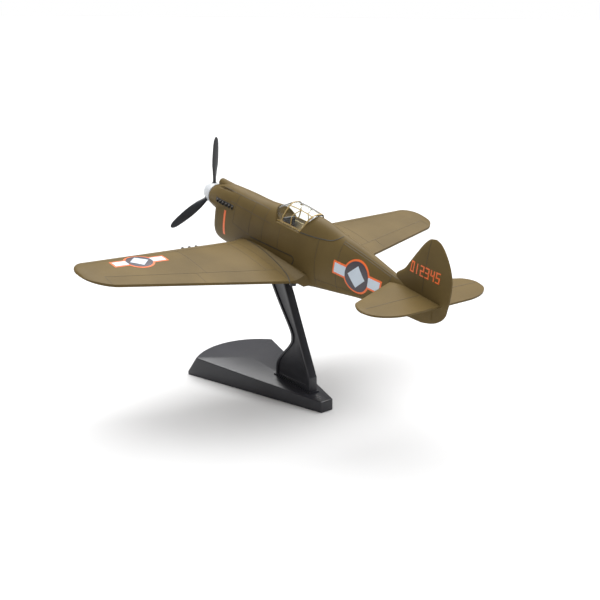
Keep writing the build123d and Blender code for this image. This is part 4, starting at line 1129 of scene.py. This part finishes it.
def hull_line(run, side, width):
    """Inked line down the side of the hull through points given by distance aft and level."""
    run = np.array(run, float)
    reach = np.concatenate([[0], np.cumsum(np.hypot(*np.diff(run, axis=0).T))])
    table = np.column_stack([reach, run])
    aft, level = np.moveaxis(smooth(table, np.linspace(0, reach[-1], max(12, int(reach[-1] * 3)))), -1, 0)
    top, bottom, half, middle, fullness = np.moveaxis(smooth(HULL, aft), -1, 0)
    rise = level > middle
    share = np.clip(np.abs(level - middle) / np.where(rise, top - middle, middle - bottom), 0, 0.995)
    turn = np.arcsin(share ** (fullness / 2)) * np.where(rise, 1, -1)
    if side < 0:
        turn = np.pi - turn
    return surface_ribbon(lambda lift: hull_point(aft, turn, HULL, lift), width)


class OBJECT_OT_desk_fighter_panel_lines(bpy.types.Operator):
    """Ink the panel lines of the fuselage, wing and tail"""
    bl_idname = "object.desk_fighter_panel_lines"
    bl_label = "Panel lines"

    def execute(self, context):
        width = context.scene.desk_fighter_sizes.line_width / MM
        lines = []
        bold = []
        for side in (1, -1):
            for run in FINE_RUNS:
                lines.append(hull_line(run, side, width))
            for run in BOLD_RUNS:
                bold.append(hull_line(run, side, width * BOLD_FACTOR))
            aft = np.linspace(FILLET_EDGE[0, 0], FILLET_EDGE[-1, 0], 60)
            bold.append(wing_ribbon(aft, smooth(FILLET_EDGE, aft)[:, 0], side, 1, width * BOLD_FACTOR))
            for face in (1, -1):
                lines.extend(wing_lines(side, face, width * 0.6))
            lines.extend(tail_lines(side, width))
            level = np.linspace(3.2, 17.0, 40)
            hinge = RUDDER_HINGE + 0 * level
            lines.append(surface_ribbon(lambda lift, a=hinge, z=level, s=side:
                                        (a, s * (fin_half(a, z) + lift), z), width))
        edges = raw_object("bold_lines", bold)
        dress(edges, "aircraft", finish_of("line"))
        piece = raw_object("panel_lines", lines)
        dress(piece, "aircraft", finish_of("faint"))
        return {"FINISHED"}


def wing_lines(side, face, width):
    """Aileron, flap, spar and rib joints on one face of one wing."""
    lines = []
    for (y0, y1), (c0, c1) in WING_RUNS:
        y = np.linspace(y0, y1, 60)
        le, te = wing_edges(y)
        aft = le + (te - le) * np.linspace(c0, c1, 60)
        lines.append(wing_ribbon(aft, y, side, face, width))
    for place, start, end in WING_RIBS:
        share = np.linspace(start, end, 40)
        y = place + 0 * share
        le, te = wing_edges(y)
        lines.append(wing_ribbon(le + (te - le) * share, y, side, face, width))
    return lines


def wing_ribbon(aft, y, side, face, width):
    return surface_ribbon(lambda lift, a=aft, s=side * y, f=face: (a, s, wing_skin(a, s, f, lift)), width)


def tail_lines(side, width):
    """Elevator hinge on both faces of one tailplane."""
    span = np.linspace(1.6, 19.4, 50)
    le, te = tail_edges(span)
    aft = TAIL_POINT + 0 * span
    half = tail_half_thick(np.clip((aft - le) / (te - le), 0, 1), span, te - le)
    return [surface_ribbon(lambda lift, f=face: (aft, side * span, TAIL_LEVEL + f * (half + lift)), width)
            for face in (1, -1)]


# ------------------------------------------------------------------ stand
def base_top(x):
    share = (x - BASE_BACK) / (BASE_STRAIGHT + BASE_BULGE)
    return BASE_HEIGHTS[0] + (BASE_HEIGHTS[1] - BASE_HEIGHTS[0]) * share


def base_ring(inset, set_back):
    """Outline seen from above: square narrow end, straight sides, circular wide end."""
    back = BASE_BACK + inset
    corner = BASE_BACK + BASE_STRAIGHT - inset - set_back
    narrow = BASE_WIDTHS[0] / 2 + BASE_SLOPE * inset - inset * math.hypot(1, BASE_SLOPE)
    wide = narrow + BASE_SLOPE * (corner - back)
    radius = (wide ** 2 + BASE_BULGE ** 2) / (2 * BASE_BULGE)
    half = math.asin(wide / radius)
    turn = np.linspace(half, -half, 48)
    arc = np.stack([corner + BASE_BULGE - radius + radius * np.cos(turn), radius * np.sin(turn)], -1)
    left = np.linspace((back, narrow), (corner, wide), 20)[:-1]
    right = np.linspace((corner, -wide), (back, -narrow), 20)[1:]
    return np.vstack([left, arc, right])


class OBJECT_OT_desk_fighter_stand(bpy.types.Operator):
    """Build the stand's base and arm"""
    bl_idname = "object.desk_fighter_stand"
    bl_label = "Stand"

    def execute(self, context):
        outer = base_ring(0, 0)
        top = base_ring(0, BASE_SET_BACK)
        inner = base_ring(BASE_WALL, 0)
        ceiling = base_ring(BASE_WALL, BASE_SET_BACK)
        rows = [
            stand_row(ceiling[:, 0], ceiling[:, 1], base_top(ceiling[:, 0]) - BASE_WALL),
            stand_row(inner[:, 0], inner[:, 1], BASE_LIP),
            stand_row(inner[:, 0], inner[:, 1], 0.0),
            stand_row(outer[:, 0], outer[:, 1], 0.0),
            stand_row(outer[:, 0], outer[:, 1], BASE_LIP),
            stand_row(top[:, 0], top[:, 1], base_top(top[:, 0])),
        ]
        base = raw_object("base_moulding", [ring_solid(np.array(rows))])
        round_edges(base, 0.00035)
        ribs = [rib_box(x, RIB_HALF, *rib_reach(x)) for x in rib_places()]
        ribs.append(rib_box(*SPINE_RIB, -RIB_HALF, RIB_HALF))
        cut(base, [raw_object(f"rib_{index}", [rib]) for index, rib in enumerate(ribs)], "UNION")
        dress(base, "stand", finish_of("black"), ("stand_base",))
        arm = raw_object("arm_moulding", [arm_rings()])
        round_edges(arm, 0.00018, 2)
        extras = [raw_object(f"arm_extra_{index}", [part]) for index, part in enumerate(flange_parts())]
        cut(arm, extras, "UNION")
        dress(arm, "stand", finish_of("black"), ("stand_arm",))
        return {"FINISHED"}


def rib_places():
    return [ARM_FOOT_FRONT + RIB_PITCH / 2 + RIB_PITCH * step for step in (-1, 0, 1, 2)]


def rib_reach(x):
    half = BASE_WIDTHS[0] / 2 + BASE_SLOPE * (x - BASE_BACK) - BASE_WALL + 0.1
    return -half, half


def rib_box(x, half_x, low_y, high_y):
    """A stiffening rib under the top, from the table up into the ceiling."""
    rings = []
    for place in (x - half_x, x + half_x):
        height = base_top(place) - BASE_WALL + 0.3
        corners = ((low_y, 0.02), (high_y, 0.02), (high_y, height), (low_y, height))
        rings.append([(place, *corner) for corner in corners])
    return ring_solid(MM * np.array(rings))


def arm_rings():
    """Arm: an I-shaped ring carried up between its rear and front edges, plain at both ends."""
    slope = math.tan(math.asin(FORWARD[2]))
    low, high = ARM_LEVELS
    rise = np.concatenate([[low, 5.6, 5.62], np.linspace(6.4, high - 2.0, 70),
                           [high - 1.5, high - 1.48, high]])
    recess = np.full(len(rise), ARM_RECESS)
    recess[:2] = 0.0
    recess[-2:] = 0.0
    rear = ARM_REAR + ARM_LEAN * np.clip(rise - ARM_HEEL_LEVEL, 0, None)
    front = smooth(ARM_FRONT, rise)[:, 0]
    across = [(0, 0, 1, 0), (0, 1, 1, 0), (0, 1, 1, -1), (1, -1, 1, -1), (1, -1, 1, 0), (1, 0, 1, 0),
              (1, 0, -1, 0), (1, -1, -1, 0), (1, -1, -1, 1), (0, 1, -1, 1), (0, 1, -1, 0), (0, 0, -1, 0)]
    rings = []
    for end, rim, side, sink in across:
        x = np.where(end, front, rear) + rim * ARM_RIM
        y = side * ARM_HALF + sink * recess
        lift = np.clip((rise - 28) / (high - 28), 0, 1) ** 2 * slope * (x + 7.9)
        rings.append(stand_row(x, y, rise + lift))
    return ring_solid(np.stack(rings, axis=1))


def flange_parts():
    """A plate round the foot, and the peg that enters the belly."""
    ends = (ARM_REAR - FLANGE_SPREAD, ARM_FOOT_FRONT + FLANGE_SPREAD)
    corners = [(ends[0], -1), (ends[1], -1), (ends[1], 1), (ends[0], 1)]
    rows = [[(x, y * (ARM_HALF + FLANGE_SPREAD), base_top(x) + lift) for x, y in corners]
            for lift in (-0.6, FLANGE_HEIGHT)]
    peg = box_solid((PEG[0], -PEG[2], BELLY_SEAT - 2.5), (PEG[1], PEG[2], BELLY_SEAT + 6))
    return [ring_solid(MM * np.array(rows)), peg]


# ------------------------------------------------------------------ stage
FLOOR_REACH = 25.0


def light_studio(context, view):
    """Even surroundings, pale along the horizon and dimmer overhead, under one very soft light."""
    world = context.scene.world or bpy.data.worlds.new("studio")
    context.scene.world = world
    world.use_nodes = True
    nodes = world.node_tree.nodes
    links = world.node_tree.links
    sky = nodes["Background"]
    place = nodes.new("ShaderNodeTexCoord")
    split = nodes.new("ShaderNodeSeparateXYZ")
    tones = nodes.new("ShaderNodeValToRGB")
    tones.color_ramp.elements[0].position = 0.02
    tones.color_ramp.elements[0].color = (1.0, 1.0, 1.0, 1.0)
    tones.color_ramp.elements[1].position = 0.12
    tones.color_ramp.elements[1].color = (view.sky, view.sky, view.sky * 1.02, 1.0)
    links.new(place.outputs["Generated"], split.inputs["Vector"])
    links.new(split.outputs["Z"], tones.inputs["Fac"])
    links.new(tones.outputs["Color"], sky.inputs["Color"])
    sky.inputs["Strength"].default_value = 1.0
    overhead = bpy.data.lights.new("overhead", "SUN")
    overhead.energy = view.overhead
    overhead.angle = math.radians(view.softness)
    lamp = bpy.data.objects.new("overhead", overhead)
    lamp.rotation_euler = Vector(view.overhead_from).to_track_quat("Z", "Y").to_euler()
    context.scene.collection.objects.link(lamp)


class OBJECT_OT_desk_fighter_stage(bpy.types.Operator):
    """Lay the pale floor, set the soft lights and the camera"""
    bl_idname = "object.desk_fighter_stage"
    bl_label = "Stage"

    def execute(self, context):
        view = context.scene.desk_fighter_view
        low = CAD_BOX[0][2]
        square = [(a * FLOOR_REACH, b * FLOOR_REACH) for a, b in ((-1, -1), (1, -1), (1, 1), (-1, 1))]
        slab_rings = [[(x, y, level) for x, y in square] for level in (low - 0.002, low)]
        floor = raw_object("floor", [ring_solid(np.array(slab_rings))])
        finish = mottled("pale_floor", (0.58, 0.58, 0.58), (0.61, 0.61, 0.61), 6.0, 0.8, 0.03, 0.02,
                         specular=0.2)
        floor.data.materials.append(finish)
        light_studio(context, view)
        heading = math.radians(view.heading)
        pitch = math.radians(view.pitch)
        roll = math.radians(view.roll)
        level = math.cos(pitch)
        ahead = Vector((math.cos(heading) * level, math.sin(heading) * level, -math.sin(pitch)))
        right = Vector((math.sin(heading), -math.cos(heading), 0.0))
        up = right.cross(ahead)
        turned_right = right * math.cos(roll) + up * math.sin(roll)
        turned_up = -right * math.sin(roll) + up * math.cos(roll)
        data = bpy.data.cameras.new("camera")
        data.sensor_width = 36.0
        data.lens = view.lens
        data.clip_start = 0.01
        data.clip_end = 10.0
        camera = bpy.data.objects.new("camera", data)
        rows = Matrix((turned_right, turned_up, -ahead)).transposed().to_4x4()
        camera.matrix_world = Matrix.Translation(Vector(view.place)) @ rows
        context.scene.collection.objects.link(camera)
        context.scene.camera = camera
        context.scene.view_settings.view_transform = "Standard"
        return {"FINISHED"}


# ------------------------------------------------------------------ sizes, colours and panel
class DeskFighterSizes(bpy.types.PropertyGroup):
    propeller_radius: FloatProperty(name="Propeller radius", default=0.0182, unit="LENGTH",
                                    description="From the thrust line to a blade's tip")
    first_blade: FloatProperty(name="First blade", default=88.0,
                               description="Turn of the first blade from the left towards up, degrees")
    exhaust_count: IntProperty(name="Exhaust stubs", description="Stub pipes on each side", default=6, min=1)
    line_width: FloatProperty(name="Panel line width", description="Width of an inked panel line",
                              default=0.00014, unit="LENGTH", precision=5)


class DeskFighterColours(bpy.types.PropertyGroup):
    paint: FloatVectorProperty(name="Paint", description="Olive drab of the airframe", subtype="COLOR",
                               default=(0.118, 0.081, 0.029))
    lines: FloatVectorProperty(name="Panel lines", description="Ink in the panel lines", subtype="COLOR",
                               default=(0.018, 0.015, 0.008))
    orange: FloatVectorProperty(name="Orange", description="Printed borders, stripe and figures",
                                subtype="COLOR", default=(0.80, 0.14, 0.025))
    pale: FloatVectorProperty(name="Pale", description="Bars and lozenge of the marks", subtype="COLOR",
                              default=(0.52, 0.59, 0.66))
    disc: FloatVectorProperty(name="Disc", description="Dark disc of the marks", subtype="COLOR",
                              default=(0.055, 0.045, 0.055))
    stand: FloatVectorProperty(name="Stand", description="Black of the stand's moulding", subtype="COLOR",
                               default=(0.014, 0.014, 0.018))
    blade: FloatVectorProperty(name="Blades", description="Black of the propeller", subtype="COLOR",
                               default=(0.022, 0.025, 0.030))
    spinner: FloatVectorProperty(name="Spinner", description="Off-white of the spinner", subtype="COLOR",
                                 default=(0.62, 0.64, 0.66))
    frames: FloatVectorProperty(name="Canopy frames", description="Ochre paint of the canopy's bars",
                                subtype="COLOR", default=(0.50, 0.34, 0.11))


class DeskFighterView(bpy.types.PropertyGroup):
    place: FloatVectorProperty(name="Camera place", description="Where the camera stands",
                               subtype="TRANSLATION", default=(-0.2269, 0.1703, 0.1129))
    heading: FloatProperty(name="Heading", description="Way the camera looks from +X towards +Y, degrees",
                           default=-38.78)
    pitch: FloatProperty(name="Pitch", description="How far the camera looks down, degrees", default=16.785)
    roll: FloatProperty(name="Roll", description="Camera roll, degrees", default=0.43)
    lens: FloatProperty(name="Lens", description="Focal length on a 36 mm sensor, millimetres", default=58.17)
    sky: FloatProperty(name="Sky", description="Strength of the surroundings overhead", default=0.3)
    overhead: FloatProperty(name="Overhead light", description="Strength of the soft overhead light",
                            default=6.2)
    softness: FloatProperty(name="Softness", description="Apparent width of the overhead light, degrees",
                            default=70.0)
    overhead_from: FloatVectorProperty(name="Light from", subtype="DIRECTION", default=(0.25, -0.18, 1.0),
                                       description="Direction the overhead light comes from")


STEPS = ("fuselage", "wing", "tailplanes", "canopy", "propeller", "exhausts", "guns", "intake", "markings",
         "panel_lines", "stand", "stage")


class VIEW3D_PT_desk_fighter(bpy.types.Panel):
    bl_label = "Desk Fighter"
    bl_idname = "VIEW3D_PT_desk_fighter"
    bl_space_type = "VIEW_3D"
    bl_region_type = "UI"
    bl_category = "Desk Fighter"

    def draw(self, context):
        for group in (context.scene.desk_fighter_sizes, context.scene.desk_fighter_colours,
                      context.scene.desk_fighter_view):
            box = self.layout.box()
            for name in group.bl_rna.properties.keys():
                if name not in ("rna_type", "name"):
                    box.prop(group, name)
        for step in STEPS:
            self.layout.operator(f"object.desk_fighter_{step}")


CLASSES = (
    DeskFighterSizes, DeskFighterColours, DeskFighterView, OBJECT_OT_desk_fighter_fuselage,
    OBJECT_OT_desk_fighter_wing, OBJECT_OT_desk_fighter_tailplanes, OBJECT_OT_desk_fighter_canopy,
    OBJECT_OT_desk_fighter_propeller, OBJECT_OT_desk_fighter_exhausts, OBJECT_OT_desk_fighter_guns,
    OBJECT_OT_desk_fighter_intake, OBJECT_OT_desk_fighter_markings, OBJECT_OT_desk_fighter_panel_lines,
    OBJECT_OT_desk_fighter_stand, OBJECT_OT_desk_fighter_stage, VIEW3D_PT_desk_fighter,
)


def register():
    for item in CLASSES:
        bpy.utils.register_class(item)
    bpy.types.Scene.desk_fighter_sizes = PointerProperty(type=DeskFighterSizes)
    bpy.types.Scene.desk_fighter_colours = PointerProperty(type=DeskFighterColours)
    bpy.types.Scene.desk_fighter_view = PointerProperty(type=DeskFighterView)


def unregister():
    del bpy.types.Scene.desk_fighter_view
    del bpy.types.Scene.desk_fighter_colours
    del bpy.types.Scene.desk_fighter_sizes
    for item in reversed(CLASSES):
        bpy.utils.unregister_class(item)


def main():
    register()
    for step in STEPS:
        getattr(bpy.ops.object, f"desk_fighter_{step}")()


if __name__ == "__main__":
    main()
